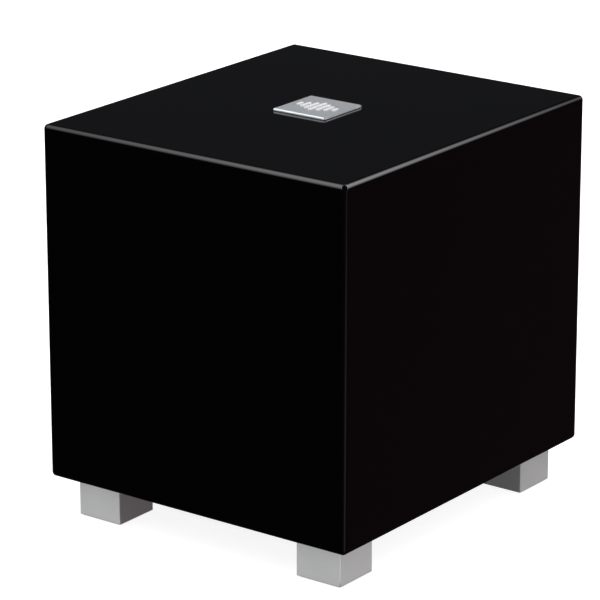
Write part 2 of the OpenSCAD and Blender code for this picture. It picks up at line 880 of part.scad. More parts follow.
module knob_shaft(x) {
    color([0.7, 0.7, 0.72])
        rearward(x, pot_y1 - pot_depth + 1.2, control_z)
            cylinder(knob_y0 + 8 - (pot_y1 - pot_depth + 1.2), r = shaft_r);
}

module high_level_knob() knob(knob_x[0]);
module low_level_knob() knob(knob_x[1]);
module crossover_knob() knob(knob_x[2]);
module high_level_shaft() knob_shaft(knob_x[0]);
module low_level_shaft() knob_shaft(knob_x[1]);
module crossover_shaft() knob_shaft(knob_x[2]);

module potentiometers() {
    body_r = 8.4;
    pin_pitch = 5;
    color([0.55, 0.56, 0.58])
        for (x = knob_x)
            rearward(x, pot_y1 - pot_depth, control_z)
                difference() {
                    union() {
                        cylinder(pot_depth, r = body_r);
                        translate([-6.5, 0, 0])
                            cube([13, 11, pot_depth]);
                        cylinder(bush_y1 - pot_y1 + pot_depth, r = bush_r);
                        for (i = [-1, 0, 1])
                            translate([i * pin_pitch - 0.5, 9.5, -1.6])
                                cube([1, 0.6, 2]);
                    }
                    translate([0, 0, 1])
                        cylinder(40, r = shaft_r + shaft_gap);
                }
}

// Hexagon nuts of the three potentiometers and the phase switch
module control_nuts() {
    color([0.62, 0.62, 0.64]) {
        for (x = knob_x)
            hex_nut(x, bush_r + 0.02, 5.7);
        hex_nut(lever_x, lever_bush_r + 0.02, 4.9);
    }
}

module hex_nut(x, hole_r, corner_r) {
    rearward(x, panel_y1, control_z)
        difference() {
            cylinder(nut_t, r = corner_r, $fn = 6);
            translate([0, 0, -eps])
                cylinder(nut_t + 2 * eps, r = hole_r);
        }
}

module phase_switch_body() {
    body_y1 = pot_y1;
    body_depth = pot_depth;
    bush_end = panel_y1 + 3.2;
    pivot_z = lever_pivot_y - body_y1 + body_depth;
    color([0.5, 0.5, 0.52])
        rearward(lever_x, body_y1 - body_depth, control_z)
            difference() {
                union() {
                    translate([-4, -6.5, 0])
                        cube([8, 13, body_depth]);
                    cylinder(bush_end - body_y1 + body_depth, r = lever_bush_r);
                }
                translate([0, 0, pivot_z - 2.2])
                    cylinder(3.4, r = 2.05);
                translate([0, 0, pivot_z + 1])
                    cylinder(30, r = lever_bush_in_r);
                translate([-lever_pin_l / 2 - 0.1, 0, pivot_z])
                    rotate([0, 90, 0])
                        cylinder(lever_pin_l + 0.2, r = lever_pin_r + 0.05);
            }
}

// Lever tipped up, on a drum that turns on a cross pin
module phase_lever() {
    length = outer_y - lever_pivot_y - 1.4;
    color([0.75, 0.75, 0.77])
        rearward(lever_x, lever_pivot_y, control_z)
            rotate([lever_tilt, 0, 0]) {
                translate([-1.2, 0, 0])
                    rotate([0, 90, 0])
                        cylinder(2.4, r = 1.6);
                translate([-lever_pin_l / 2, 0, 0])
                    rotate([0, 90, 0])
                        cylinder(lever_pin_l, r = lever_pin_r);
                cylinder(length, r1 = 1, r2 = 1.5);
                translate([0, 0, length])
                    sphere(1.5);
            }
}

// Rocker's hinge frame: local X is the hinge line
module at_rocker() {
    translate([rocker_x, rocker_pivot_y, mains_z])
        children();
}

module power_switch_frame() {
    bezel_w = 15.6;
    bezel_h = 22;
    bezel_t = 2;
    pocket_w = rocker_w + 0.4;
    pocket_r = rocker_swing_r + 0.3;
    color([0.04, 0.04, 0.04])
        difference() {
            union() {
                block([rocker_x - switch_w / 2, switch_back_y, mains_z - switch_h / 2],
                    [rocker_x + switch_w / 2, panel_y1 + eps, mains_z + switch_h / 2]);
                rearward(rocker_x, panel_y1, mains_z)
                    rounded_block(bezel_w, bezel_h, bezel_t, 1);
            }
            // the pocket follows the rocker's swing, so its floor and ends are round
            at_rocker()
                translate([-pocket_w / 2, 0, 0])
                    rotate([0, 90, 0])
                        cylinder(pocket_w, r = pocket_r);
            at_rocker()
                translate([-pocket_w / 2, 0, -pocket_r])
                    cube([pocket_w, 6, 2 * pocket_r]);
            at_rocker()
                translate([-pocket_w / 2 - 0.6, 0, 0])
                    rotate([0, 90, 0])
                        cylinder(pocket_w + 1.2, r = rocker_pin_r + 0.05);
            switch_blades(switch_back_y - eps, switch_back_y + 2);
        }
}

module power_rocker() {
    crown = 4.6;             // how far each end stands off the hinge line
    waist = 3.2;
    color([0.05, 0.05, 0.05])
        at_rocker()
            rotate([rocker_tilt, 0, 0]) {
                intersection() {
                    translate([-rocker_w / 2, 0, 0])
                        rotate([90, 0, 90])
                            linear_extrude(rocker_w)
                                polygon([[-2.6, -rocker_swing_r], [crown, -rocker_swing_r], [waist, 0],
                                    [crown, rocker_swing_r], [-2.6, rocker_swing_r], [-4, 0]]);
                    translate([-rocker_w / 2, 0, 0])
                        rotate([0, 90, 0])
                            cylinder(rocker_w, r = rocker_swing_r);
                }
                translate([-rocker_w / 2 - 0.7, 0, 0])
                    rotate([0, 90, 0])
                        cylinder(rocker_w + 1.4, r = rocker_pin_r);
            }
}

// ---------------------------------------------------------------- mains inlet

switch_back_y = panel_y1 - 15;
pin_x = [-7, 0, 7];
pin_dz = [-2, 2, -2];    // the earth pin stands above the line of the other two
pin_w = 2;
pin_h = 4;

module inlet_pin_blocks(y0, y1, spare = 0) {
    for (i = [0:2])
        block([inlet_x + pin_x[i] - pin_w / 2 - spare, y0, cavity_z + pin_dz[i] - pin_h / 2 - spare],
            [inlet_x + pin_x[i] + pin_w / 2 + spare, y1, cavity_z + pin_dz[i] + pin_h / 2 + spare]);
}

module switch_blades(y0, y1) {
    for (z = [-6, 0, 6])
        block([rocker_x - 2.4, y0, mains_z + z - 0.4], [rocker_x + 2.4, y1, mains_z + z + 0.4]);
}

module mains_inlet() {
    flange_edge = 2.2;
    color([0.05, 0.05, 0.05])
        difference() {
            union() {
                block([inlet_x - inlet_w / 2, inlet_back_y, inlet_z0],
                    [inlet_x + inlet_w / 2, panel_y1 + eps, inlet_z1]);
                rearward(inlet_x, panel_y1, (inlet_z0 + inlet_z1) / 2)
                    rounded_block(inlet_w + 2 * flange_edge, inlet_z1 - inlet_z0 + 2 * flange_edge,
                        inlet_flange_t, 2);
            }
            // socket cavity with two cut corners
            translate([inlet_x, panel_y1 + inlet_flange_t + eps, cavity_z])
                rotate([90, 0, 0])
                    linear_extrude(panel_y1 + inlet_flange_t + eps - cavity_floor_y)
                        polygon([[-cavity_w / 2, -cavity_h / 2], [cavity_w / 2, -cavity_h / 2],
                            [cavity_w / 2, cavity_h / 2 - 4.5], [cavity_w / 2 - 4.5, cavity_h / 2],
                            [-cavity_w / 2 + 4.5, cavity_h / 2], [-cavity_w / 2, cavity_h / 2 - 4.5]]);
            inlet_pin_blocks(inlet_back_y - eps, cavity_floor_y + eps);
            // slot for the fuse drawer
            block([inlet_x - drawer_w / 2 - 0.1, panel_y1 - drawer_length - 0.4,
                    drawer_z - drawer_h / 2 - 0.1],
                [inlet_x + drawer_w / 2 + 0.1, panel_y1 + inlet_flange_t + eps,
                    drawer_z + drawer_h / 2 + 0.1]);
        }
}

// Pins of the inlet, and the blades behind the power switch
module mains_terminals() {
    color([0.72, 0.6, 0.35]) {
        inlet_pin_blocks(inlet_back_y - 6, panel_y1 + 0.5);
        switch_blades(switch_back_y - 6, switch_back_y + 2);
    }
}

// Tray with a cross pocket for the fuse and a front lip to pull it by
module fuse_drawer() {
    color([0.06, 0.06, 0.06])
        difference() {
            union() {
                block([inlet_x - drawer_w / 2, panel_y1 - drawer_length, drawer_z - drawer_h / 2],
                    [inlet_x + drawer_w / 2, panel_y1 + inlet_flange_t, drawer_z + drawer_h / 2]);
                block([inlet_x - 5, panel_y1 + inlet_flange_t - eps, drawer_z - 1.2],
                    [inlet_x + 5, panel_y1 + inlet_flange_t + 1.2, drawer_z + 1.2]);
            }
            block([inlet_x - fuse_length / 2 - 0.3, panel_y1 - drawer_length + 1.5, drawer_z - fuse_r - 0.1],
                [inlet_x + fuse_length / 2 + 0.3, panel_y1 - drawer_length + 1.9 + 2 * fuse_r,
                    drawer_z + drawer_h]);
        }
}

module fuse() {
    color([0.8, 0.82, 0.82])
        translate([inlet_x - fuse_length / 2, panel_y1 - drawer_length + 1.7 + fuse_r, drawer_z])
            rotate([0, 90, 0]) {
                cylinder(fuse_length, r = fuse_r - 0.25);
                for (z = [0, fuse_length - 5])
                    translate([0, 0, z])
                        cylinder(5, r = fuse_r);
            }
}

// ---------------------------------------------------------------- sockets

// Screened barrels of the three phono sockets, with a collar against the panel
module phono_sockets() {
    collar_r = 5.6;
    color([0.8, 0.66, 0.35])
        for (x = phono_x)
            rearward(x, panel_y0, socket_z)
                difference() {
                    union() {
                        cylinder(phono_y1 - panel_y0, r = phono_r);
                        translate([0, 0, panel_t])
                            cylinder(1, r = collar_r);
                    }
                    translate([0, 0, -eps])
                        cylinder(phono_y1 - panel_y0 + 2 * eps, r = phono_in_r);
                }
}

// Plastic cores of the phono sockets, on their blocks behind the panel
module phono_insulators() {
    core_y1 = phono_y1 - 1;
    color([0.8, 0.8, 0.78])
        for (x = phono_x)
            rearward(x, preamp_y1, socket_z)
                difference() {
                    union() {
                        translate([-6, -6, 0])
                            cube([12, 12, panel_y0 - preamp_y1]);
                        cylinder(core_y1 - preamp_y1, r = phono_in_r - 0.02);
                    }
                    translate([0, 0, panel_y1 - preamp_y1 - 1])
                        cylinder(30, r = phono_hole_r);
                }
}

// Round twist-lock loudspeaker socket: flanged cup with a keyed core
module speaker_socket() {
    flange_w = 26;
    flange_hgt = 31;
    cup_h = speaker_y1 - speaker_floor_y;
    back = 2.5;
    color([0.05, 0.05, 0.05])
        rearward(speaker_x, speaker_floor_y - back, socket_z)
            difference() {
                union() {
                    cylinder(cup_h + back, r = speaker_r);
                    translate([0, 0, panel_y1 - speaker_floor_y + back])
                        rounded_block(flange_w, flange_hgt, speaker_y1 - panel_y1, 3);
                }
                translate([0, 0, back])
                    difference() {
                        cylinder(cup_h + eps, r = speaker_in_r);
                        cylinder(cup_h - 3, r = speaker_core_r);
                    }
                // two keyways, and holes for the two flange screws
                for (a = [0, 180])
                    rotate(a)
                        translate([speaker_in_r - 1, -1.5, back])
                            cube([1.9, 3, cup_h + eps]);
                for (s = [-1, 1])
                    translate([s * 9.5, s * 12.2, 0])
                        cylinder(cup_h + back + eps, r = 1.6);
            }
}

module status_led() {
    led_r = 2.4;
    color([0.2, 0.9, 0.3])
        rearward(led_x, panel_y0 - 4, control_z) {
            cylinder(panel_t + 5, r = led_r);
            translate([0, 0, panel_t + 5])
                sphere(led_r);
            for (x = [-1.27, 1.27])
                translate([x - 0.25, -0.25, preamp_y1 - panel_y0 + 4])
                    cube([0.5, 0.5, panel_y0 - preamp_y1 - 4 + eps]);
        }
}

// ---------------------------------------------------------------- inside the amplifier

module main_board() {
    color([0.06, 0.3, 0.14])
        difference() {
            block([board_x[0], board_y0, board_z[0]], [board_x[1], board_y1, board_z[1]]);
            standoff_places()
                translate([0, 0, -pcb_t - eps])
                    cylinder(pcb_t + 2 * eps, r = 1.6);
        }
}

// L-shaped board behind the knobs and phono sockets, clear of the loudspeaker socket
module preamp_board() {
    low_z = panel_z + 30;
    mid_z = panel_z + 56;
    high_z = panel_z + 98;
    color([0.06, 0.3, 0.14])
        union() {
            block([led_x - 6, preamp_y1 - pcb_t, mid_z], [board_x[1], preamp_y1, high_z]);
            block([12, preamp_y1 - pcb_t, low_z], [board_x[1], preamp_y1, mid_z + eps]);
        }
}

// Children at the four pillars that carry the main board
module standoff_places() {
    for (x = [board_x[0] + 4, board_x[1] - 4], z = [board_z[0] + 4, board_z[1] - 4])
        rearward(x, board_y1, z)
            children();
}

// Ring transformer with its winding taped round, and a rubber pad on each face
module transformer() {
    soft = 7;
    color([0.12, 0.12, 0.13])
        rearward(toroid_x, toroid_y0 - toroid_pad_t, toroid_z) {
            translate([0, 0, toroid_pad_t])
                rotate_extrude()
                    polygon(concat(arc(toroid_r - soft, soft, soft, -90, 0, 6),
                        arc(toroid_r - soft, toroid_t - soft, soft, 0, 90, 6),
                        arc(toroid_in_r + soft, toroid_t - soft, soft, 90, 180, 6),
                        arc(toroid_in_r + soft, soft, soft, 180, 270, 6)));
            for (z = [0, toroid_pad_t + toroid_t])
                translate([0, 0, z])
                    tube(toroid_r - 8, toroid_in_r + 5, toroid_pad_t);
        }
}

// Bolt, dished washer and nut of the transformer, the main board's pillars and screws, the bar that
// clamps the transistors, and the stud for the safety earth
module amp_fasteners() {
    dish_y = toroid_y0 - toroid_pad_t;
    dish_t = 1.5;
    nut_h = 5;
    bar_y1 = panel_y0 - 4.8;
    bar_z = sink_z + 15;
    color([0.6, 0.6, 0.62]) {
        rearward(toroid_x, dish_y - dish_t, toroid_z)
            rotate_extrude()
                polygon([[bolt_r + 0.2, 3], [8, 3], [16, 0], [toroid_r - 6, 0], [toroid_r - 6, dish_t],
                    [16, dish_t], [8, 3 + dish_t], [bolt_r + 0.2, 3 + dish_t]]);
        rearward(toroid_x, dish_y - dish_t + 3 - nut_h, toroid_z)
            difference() {
                cylinder(nut_h, r = 5.7, $fn = 6);
                translate([0, 0, -eps])
                    cylinder(nut_h + 2 * eps, r = bolt_r + 0.02);
            }
        rearward(toroid_x, dish_y - 10, toroid_z) {
            cylinder(panel_y0 - dish_y + 10 + eps, r = bolt_r);
            translate([0, 0, panel_y0 - dish_y + 10])
                cylinder(panel_t, r1 = bolt_r, r2 = 2 * bolt_r);
        }
        standoff_places()
            cylinder(panel_y0 - board_y1, r = 2.8, $fn = 6);
        standoff_places()
            translate([0, 0, -pcb_t - 2])
                cylinder(2, r = 2.6);
        standoff_places()
            translate([0, 0, -pcb_t - eps])
                cylinder(pcb_t + 2 * eps, r = 1.5);
        block([transistor_x(0) - 6, bar_y1 - 2.5, bar_z - 4], [transistor_x(3) + 6, bar_y1, bar_z + 4]);
        for (i = [0, 2])
            rearward(transistor_x(i) + 10, bar_y1 - 4.5, bar_z)
                cylinder(panel_y0 - bar_y1 + 4.5, r = 1.5);
        for (i = [0, 2])
            rearward(transistor_x(i) + 10, bar_y1 - 4.5, bar_z)
                cylinder(2, r = 2.8);
        rearward(4, panel_y0 - 7.5, mains_z - 2) {
            cylinder(7.5, r = 2);
            translate([0, 0, 1])
                cylinder(3, r = 4, $fn = 6);
        }
    }
}

// Capacitors, rectifier, relay and connector on the back of the main board
module board_components() {
    can_r = 15;
    can_h = 42;
    can_z = board_z[0] + 20;
    plug_d = 9;
    color([0.1, 0.1, 0.16]) {
        for (x = [34.5, 66.5])
            component_can(x, can_z, can_r, can_h);
        for (x = [28, 46])
            component_can(x, board_z[0] + 52, 8, 25);
        block([56, board_y0 - 18, board_z[0] + 46], [76, board_y0, board_z[0] + 62]);
        block([54, board_y0 - 6, board_z[0] + 70], [78, board_y0, board_z[0] + 86]);
        block([9.5, board_y0 - plug_d, board_z[0] + 26], [16.5, board_y0, board_z[0] + 36]);
        block([9, board_y0 - plug_d - 2, board_z[0] + 70], [18.5, board_y0, board_z[0] + 78]);
    }
}

module component_can(x, z, r, h) {
    rearward(x, board_y0 - h, z)
        cylinder(h, r = r);
}

function transistor_x(i) = 16 + 20 * i;

// Four output transistors clamped flat on the inside of the panel, their legs bent down to the board
module power_transistors() {
    body_w = 15.6;
    body_h = 20;
    body_t = 4.8;
    body_z = sink_z + 2;
    leg_t = 0.6;
    leg_w = 1.2;
    color([0.08, 0.08, 0.08])
        for (i = [0:3])
            translate([transistor_x(i), 0, body_z]) {
                block([-body_w / 2, panel_y0 - body_t, 0], [body_w / 2, panel_y0, body_h]);
                for (k = [-1, 0, 1])
                    translate([k * 5.4 - leg_w / 2, 0, 0]) {
                        block([0, panel_y0 - body_t + 1, -4], [leg_w, panel_y0 - body_t + 1 + leg_t, eps]);
                        block([0, board_y1, -4 - leg_t], [leg_w, panel_y0 - body_t + 1 + leg_t, -4]);
                    }
            }
}

module wiring_loom() {
    color([0.6, 0.05, 0.05])
        for (lead = loom_routes)
            wire(lead[1], lead_r, lead[0], lead[2]);
}

// ---------------------------------------------------------------- nodes

cabinet_shell();
base_panel();
cabinet_brace();
wadding();
badge_pad();
badge_plate();
badge_emblem();
foot_front_left();
foot_front_right();
foot_rear_left();
foot_rear_right();
foot_pads();
foot_bolts();
foot_inserts();
driver_basket();
driver_gasket();
driver_screws();
driver_trim_ring();
driver_surround();
driver_cone();
dust_cap();
coil_former();
voice_coil();
driver_spider();
magnet_top_plate();
magnet();
pole_piece();
driver_terminals();
tinsel_leads();
amp_panel();
panel_gasket();
panel_screws();
heat_sink();
high_level_knob();
low_level_knob();
crossover_knob();
high_level_shaft();
low_level_shaft();
crossover_shaft();
potentiometers();
control_nuts();
phase_switch_body();
phase_lever();
power_switch_frame();
power_rocker();
mains_inlet();
mains_terminals();
fuse_drawer();
fuse();
phono_sockets();
phono_insulators();
speaker_socket();
status_led();
main_board();
preamp_board();
transformer();
board_components();
power_transistors();
amp_fasteners();
wiring_loom();
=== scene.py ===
import json
import math

import bmesh
import bpy
from mathutils import Matrix, Vector, noise


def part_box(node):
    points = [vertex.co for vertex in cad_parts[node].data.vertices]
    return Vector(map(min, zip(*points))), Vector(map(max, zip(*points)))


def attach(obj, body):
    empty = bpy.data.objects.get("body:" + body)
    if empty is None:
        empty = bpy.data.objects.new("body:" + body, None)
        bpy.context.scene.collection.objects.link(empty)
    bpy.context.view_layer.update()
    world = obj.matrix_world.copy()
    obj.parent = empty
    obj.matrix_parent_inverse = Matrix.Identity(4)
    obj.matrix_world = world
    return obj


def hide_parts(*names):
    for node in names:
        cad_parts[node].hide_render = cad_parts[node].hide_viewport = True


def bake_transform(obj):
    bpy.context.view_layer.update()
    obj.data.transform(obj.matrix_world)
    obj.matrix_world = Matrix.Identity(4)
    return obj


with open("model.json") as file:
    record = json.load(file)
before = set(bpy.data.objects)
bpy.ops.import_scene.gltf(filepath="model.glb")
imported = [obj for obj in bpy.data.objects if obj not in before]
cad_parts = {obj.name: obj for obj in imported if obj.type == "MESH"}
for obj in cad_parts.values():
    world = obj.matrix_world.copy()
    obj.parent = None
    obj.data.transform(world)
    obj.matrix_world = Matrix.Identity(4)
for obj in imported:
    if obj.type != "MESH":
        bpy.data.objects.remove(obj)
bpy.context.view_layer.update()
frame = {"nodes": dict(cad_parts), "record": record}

MM = 0.001
NODES = frame["nodes"]
ROOT = "cabinet"


def centre_of(node):
    lo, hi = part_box(node)
    return (lo + hi) / 2


AXIS = tuple(centre_of("driver_basket"))[:2]     # the driver's axis, in X and Y

# --------------------------------------------------------------------------- shader helpers


class Graph:
    """Adds nodes to a node tree and joins them up."""

    def __init__(self, tree):
        self.tree = tree

    def join(self, value, socket):
        if isinstance(value, bpy.types.NodeSocket):
            self.tree.links.new(value, socket)
        else:
            socket.default_value = value

    def node(self, kind, inputs=(), **settings):
        made = self.tree.nodes.new(kind)
        for key, value in settings.items():
            setattr(made, key, value)
        for key, value in dict(inputs).items():
            self.join(value, made.inputs[key])
        return made

    def axes(self, vector):
        """Outputs X, Y and Z of a vector."""
        return self.node("ShaderNodeSeparateXYZ", {"Vector": vector}).outputs

    def span(self, value, low, high, from_low=0.0, from_high=1.0, kind="LINEAR"):
        """Maps value from one range to another, and holds it inside that."""
        made = self.node("ShaderNodeMapRange", {"Value": value, "From Min": from_low, "From Max": from_high,
                                                "To Min": low, "To Max": high}, interpolation_type=kind)
        return made.outputs["Result"]

    def maths(self, operation, a, b=0.0):
        return self.node("ShaderNodeMath", {0: a, 1: b}, operation=operation).outputs["Value"]

    def blend(self, fac, a, b):
        """Colour a where fac is 0 and b where it is 1."""
        made = self.node("ShaderNodeMix", data_type="RGBA")
        self.join(fac, made.inputs[0])
        for value, socket in ((a, made.inputs[6]), (b, made.inputs[7])):
            self.join((*value, 1.0) if isinstance(value, tuple) else value, socket)
        return made.outputs[2]

    def added(self, a, b):
        """Sum of two shaders."""
        return self.node("ShaderNodeAddShader", {0: a, 1: b}).outputs[0]

    def mixed(self, fac, a, b):
        """Shader a where fac is 0 and b where it is 1."""
        return self.node("ShaderNodeMixShader", {"Fac": fac, 1: a, 2: b}).outputs[0]

    def show(self, shader, output="Material Output"):
        """Puts a shader on the tree's output."""
        self.join(shader, self.tree.nodes[output].inputs["Surface"])


class Shader(Graph):
    """One procedural material, built on a Principled BSDF in object coordinates (metres)."""

    def __init__(self, name):
        self.material = bpy.data.materials.new(name)
        self.material.use_nodes = True
        super().__init__(self.material.node_tree)
        self.bsdf = self.tree.nodes["Principled BSDF"]
        self.coords = self.node("ShaderNodeTexCoord").outputs["Object"]
        self.normal = None

    def stretched(self, x=1.0, y=1.0, z=1.0):
        made = self.node("ShaderNodeMapping", {"Vector": self.coords, "Scale": (x, y, z)})
        return made.outputs["Vector"]

    def noise(self, scale, detail=3.0, vector=None, roughness=0.5):
        made = self.node("ShaderNodeTexNoise", {"Vector": vector or self.coords, "Scale": scale,
                                                "Detail": detail, "Roughness": roughness})
        return made.outputs["Fac"]

    def cells(self, scale, vector=None):
        made = self.node("ShaderNodeTexVoronoi", {"Vector": vector or self.coords, "Scale": scale})
        return made.outputs["Distance"]

    def bump(self, height, strength, distance):
        inputs = {"Height": height, "Strength": strength, "Distance": distance}
        if self.normal is not None:
            inputs["Normal"] = self.normal
        self.normal = self.node("ShaderNodeBump", inputs).outputs["Normal"]

    def finish(self, **values):
        """Sets the Principled inputs, named with underscores, and returns the material."""
        for key, value in values.items():
            if isinstance(value, tuple):
                value = (*value, 1.0)
            self.join(value, self.bsdf.inputs[key.replace("_", " ")])
        if self.normal is not None:
            self.join(self.normal, self.bsdf.inputs["Normal"])
        return self.material


def grey(value, tint=0.0):
    """Grey, a little cooler for a tint above 0."""
    return (value * (1 - tint / 2), value, value * (1 + tint / 2))


# --------------------------------------------------------------------------- materials


def lacquer():
    """Black polished lacquer: almost mirror smooth, with a faint orange peel and polishing haze."""
    s = Shader("black_lacquer")
    haze = s.noise(14, 4)
    s.bump(s.noise(260, 2), 0.05, 0.00003)
    return s.finish(Base_Color=s.blend(haze, grey(0.0004), grey(0.0007, 0.1)),
                    Roughness=s.span(haze, 0.02, 0.045, 0.3, 0.7), Specular_IOR_Level=0.5)


def satin_metal(name, shade, rough, diffuse=0.4, grain=5200, streak=None, mottle=0.05, tint=0.01):
    """Bead-blasted or brushed anodised metal. streak stretches the grain along X, Y or Z."""
    s = Shader(name)
    vector = s.stretched(*streak) if streak else None
    fine = s.noise(grain, 3, vector)
    cloud = s.noise(45, 3)
    s.bump(fine, 0.18, 0.00002)
    s.bump(s.noise(900, 2), 0.06, 0.00003)
    dull, bright = grey(shade * (1 - mottle), tint + 0.005), grey(min(1.0, shade * 1.12), tint)
    colour = s.blend(s.span(cloud, 0, 1, 0.3, 0.7), dull, grey(shade, tint))
    colour = s.blend(s.span(fine, 0, 0.3, 0.3, 0.8), colour, bright)
    return s.finish(Base_Color=colour, Metallic=1 - diffuse,
                    Roughness=s.span(fine, rough - 0.05, rough + 0.07))


def coloured_metal(name, colour, rough, streak=None):
    """Plated or drawn metal with faintly darker clouds."""
    s = Shader(name)
    vector = s.stretched(*streak) if streak else None
    fine = s.noise(3800, 3, vector)
    cloud = s.noise(160, 3)
    s.bump(fine, 0.15, 0.00002)
    worn = tuple(c * 0.75 for c in colour)
    return s.finish(Base_Color=s.blend(s.span(cloud, 0, 1, 0.35, 0.7), worn, colour), Metallic=1.0,
                    Roughness=s.span(fine, rough - 0.05, rough + 0.1))


def painted(name, shade, rough, grain=1500, depth=0.00005):
    """Powder coat: a fine pebbled skin that is glossier on its tops."""
    strength, tint = 0.35, 0.03
    s = Shader(name)
    pebble = s.cells(grain)
    cloud = s.noise(60, 3)
    s.bump(pebble, strength, depth)
    s.bump(s.noise(grain * 2.3, 2), strength * 0.5, depth * 0.5)
    return s.finish(Base_Color=s.blend(cloud, grey(shade * 0.8, tint), grey(shade * 1.25, tint)),
                    Roughness=s.span(pebble, rough - 0.06, rough + 0.1, 0.0, 0.7))


def plastic(name, colour, rough, grain=2600, strength=0.25, coat=0.0):
    """Moulded plastic with spark-eroded texture and a little polish where hands rub."""
    s = Shader(name)
    texture = s.noise(grain, 3)
    rubbed = s.noise(90, 3)
    s.bump(texture, strength, 0.00004)
    darker = tuple(c * 0.78 for c in colour)
    return s.finish(Base_Color=s.blend(rubbed, darker, colour), Coat_Weight=coat,
                    Roughness=s.span(rubbed, rough - 0.05, rough + 0.06, 0.3, 0.7))


def rubber(name, shade, rough=0.62, grain=1900):
    """Moulded rubber or foam with a dusty bloom."""
    s = Shader(name)
    skin = s.noise(grain, 4, roughness=0.6)
    bloom = s.noise(70, 3)
    s.bump(skin, 0.3, 0.00005)
    colour = s.blend(s.span(bloom, 0, 1, 0.35, 0.75), grey(shade), grey(shade * 1.7))
    return s.finish(Base_Color=colour, Roughness=s.span(bloom, rough - 0.08, rough + 0.1),
                    Sheen_Weight=0.08, Sheen_Roughness=0.4)


RING_WAVES = 2100     # radians per metre of radius


def cone_paper(name, shade, rings=True):
    """Pressed pulp: long fibres running both ways, and faint rings where the felt was stretched."""
    s = Shader(name)
    fibre_a = s.noise(900, 5, s.stretched(1.0, 0.12, 0.5), 0.7)
    fibre_b = s.noise(1000, 5, s.stretched(0.14, 1.0, 0.5), 0.7)
    felt = s.maths("MULTIPLY", s.maths("ADD", fibre_a, fibre_b), 0.5)
    s.bump(felt, 0.5, 0.00015)
    if rings:
        place = s.axes(s.coords)
        x, y = place["X"], s.maths("SUBTRACT", place["Y"], AXIS[1])
        radius = s.maths("SQRT", s.maths("ADD", s.maths("MULTIPLY", x, x), s.maths("MULTIPLY", y, y)))
        s.bump(s.maths("SINE", s.maths("MULTIPLY", radius, RING_WAVES)), 0.12, 0.00012)
    colour = s.blend(s.span(felt, 0, 1, 0.35, 0.65), grey(shade * 0.55), grey(shade * 1.6, 0.04))
    return s.finish(Base_Color=colour, Roughness=s.span(felt, 0.7, 0.95), Sheen_Weight=0.1)


def board(name, dark, light, rough=0.7, painted_over=False):
    """Fibre board: pressed chips, bare or under a thin coat of paint."""
    s = Shader(name)
    chips = s.cells(800, s.stretched(1, 1, 0.45))
    dust = s.noise(1300, 4)
    s.bump(s.maths("ADD", chips, dust), 0.15 if painted_over else 0.5, 0.00008)
    return s.finish(Base_Color=s.blend(s.maths("MULTIPLY", chips, dust), dark, light),
                    Roughness=s.span(dust, rough - 0.1, rough + 0.12))


THREAD_PITCH = 0.0007


def woven(name, dark, light):
    """Cloth with crossed threads."""
    s = Shader(name)
    turns = 2 * math.pi / THREAD_PITCH
    place = s.axes(s.coords)
    warp = s.maths("SINE", s.maths("MULTIPLY", place["X"], turns))
    weft = s.maths("SINE", s.maths("MULTIPLY", place["Y"], turns))
    weave = s.maths("MULTIPLY", warp, weft)
    s.bump(weave, 0.5, 0.0001)
    s.bump(s.noise(1500, 3), 0.25, 0.00008)
    return s.finish(Base_Color=s.blend(s.span(weave, 0, 1, -1, 1), dark, light), Roughness=0.85,
                    Sheen_Weight=0.2)


def fluff(name):
    """Lofted polyester fibre."""
    s = Shader(name)
    tufts = s.noise(140, 6, roughness=0.75)
    s.bump(tufts, 1.0, 0.002)
    return s.finish(Base_Color=s.blend(tufts, (0.62, 0.61, 0.56), (0.9, 0.9, 0.87)), Roughness=0.95,
                    Sheen_Weight=0.5)


def circuit_board(name):
    """Green solder mask over a grid of tracks."""
    s = Shader(name)
    upright = s.node("ShaderNodeMapping", {"Vector": s.coords, "Rotation": (math.pi / 2, 0, 0)})
    tracks = s.node("ShaderNodeTexBrick", {
        "Vector": upright.outputs["Vector"], "Scale": 260.0, "Mortar Size": 0.09,
        "Color1": (0.012, 0.1, 0.04, 1), "Color2": (0.016, 0.13, 0.05, 1), "Mortar": (0.05, 0.27, 0.11, 1)})
    s.bump(tracks.outputs["Fac"], 0.3, 0.00005)
    return s.finish(Base_Color=tracks.outputs["Color"], Roughness=s.span(s.noise(300), 0.25, 0.4),
                    Coat_Weight=0.4)


RED_PHONO_X = 0.050     # the middle one of the three sockets
FUSE_X = 0.045


def phono_plastic(name):
    """White and red cores: the red one is the middle of the three."""
    s = Shader(name)
    away = s.maths("ABSOLUTE", s.maths("SUBTRACT", s.axes(s.coords)["X"], RED_PHONO_X))
    red = s.maths("LESS_THAN", away, 0.009)
    s.bump(s.noise(2200, 3), 0.2, 0.00004)
    tone = s.blend(red, (0.7, 0.69, 0.65), (0.45, 0.02, 0.02))
    shade = s.blend(s.span(s.noise(120), 0, 0.35), tone, (0.25, 0.24, 0.22))
    return s.finish(Base_Color=shade, Roughness=s.span(s.noise(200), 0.32, 0.45))


def lens(name):
    """Green diffusing lens, faintly lit."""
    s = Shader(name)
    cloud = s.noise(500, 2)
    return s.finish(Base_Color=s.blend(cloud, (0.05, 0.42, 0.12), (0.12, 0.7, 0.22)),
                    Roughness=s.span(cloud, 0.12, 0.22), Transmission_Weight=0.25,
                    Emission_Color=(0.1, 0.9, 0.25), Emission_Strength=0.25)


def fuse_glass(name):
    """Glass between two plated caps, told apart by their place along X."""
    s = Shader(name)
    away = s.maths("ABSOLUTE", s.maths("SUBTRACT", s.axes(s.coords)["X"], FUSE_X))
    cap = s.maths("GREATER_THAN", away, 0.005)
    scratches = s.noise(1800, 3)
    return s.finish(Base_Color=s.blend(cap, (0.82, 0.86, 0.85), (0.62, 0.62, 0.63)), Metallic=cap,
                    Roughness=s.span(scratches, 0.08, 0.28), Transmission_Weight=s.span(cap, 0.8, 0.0))


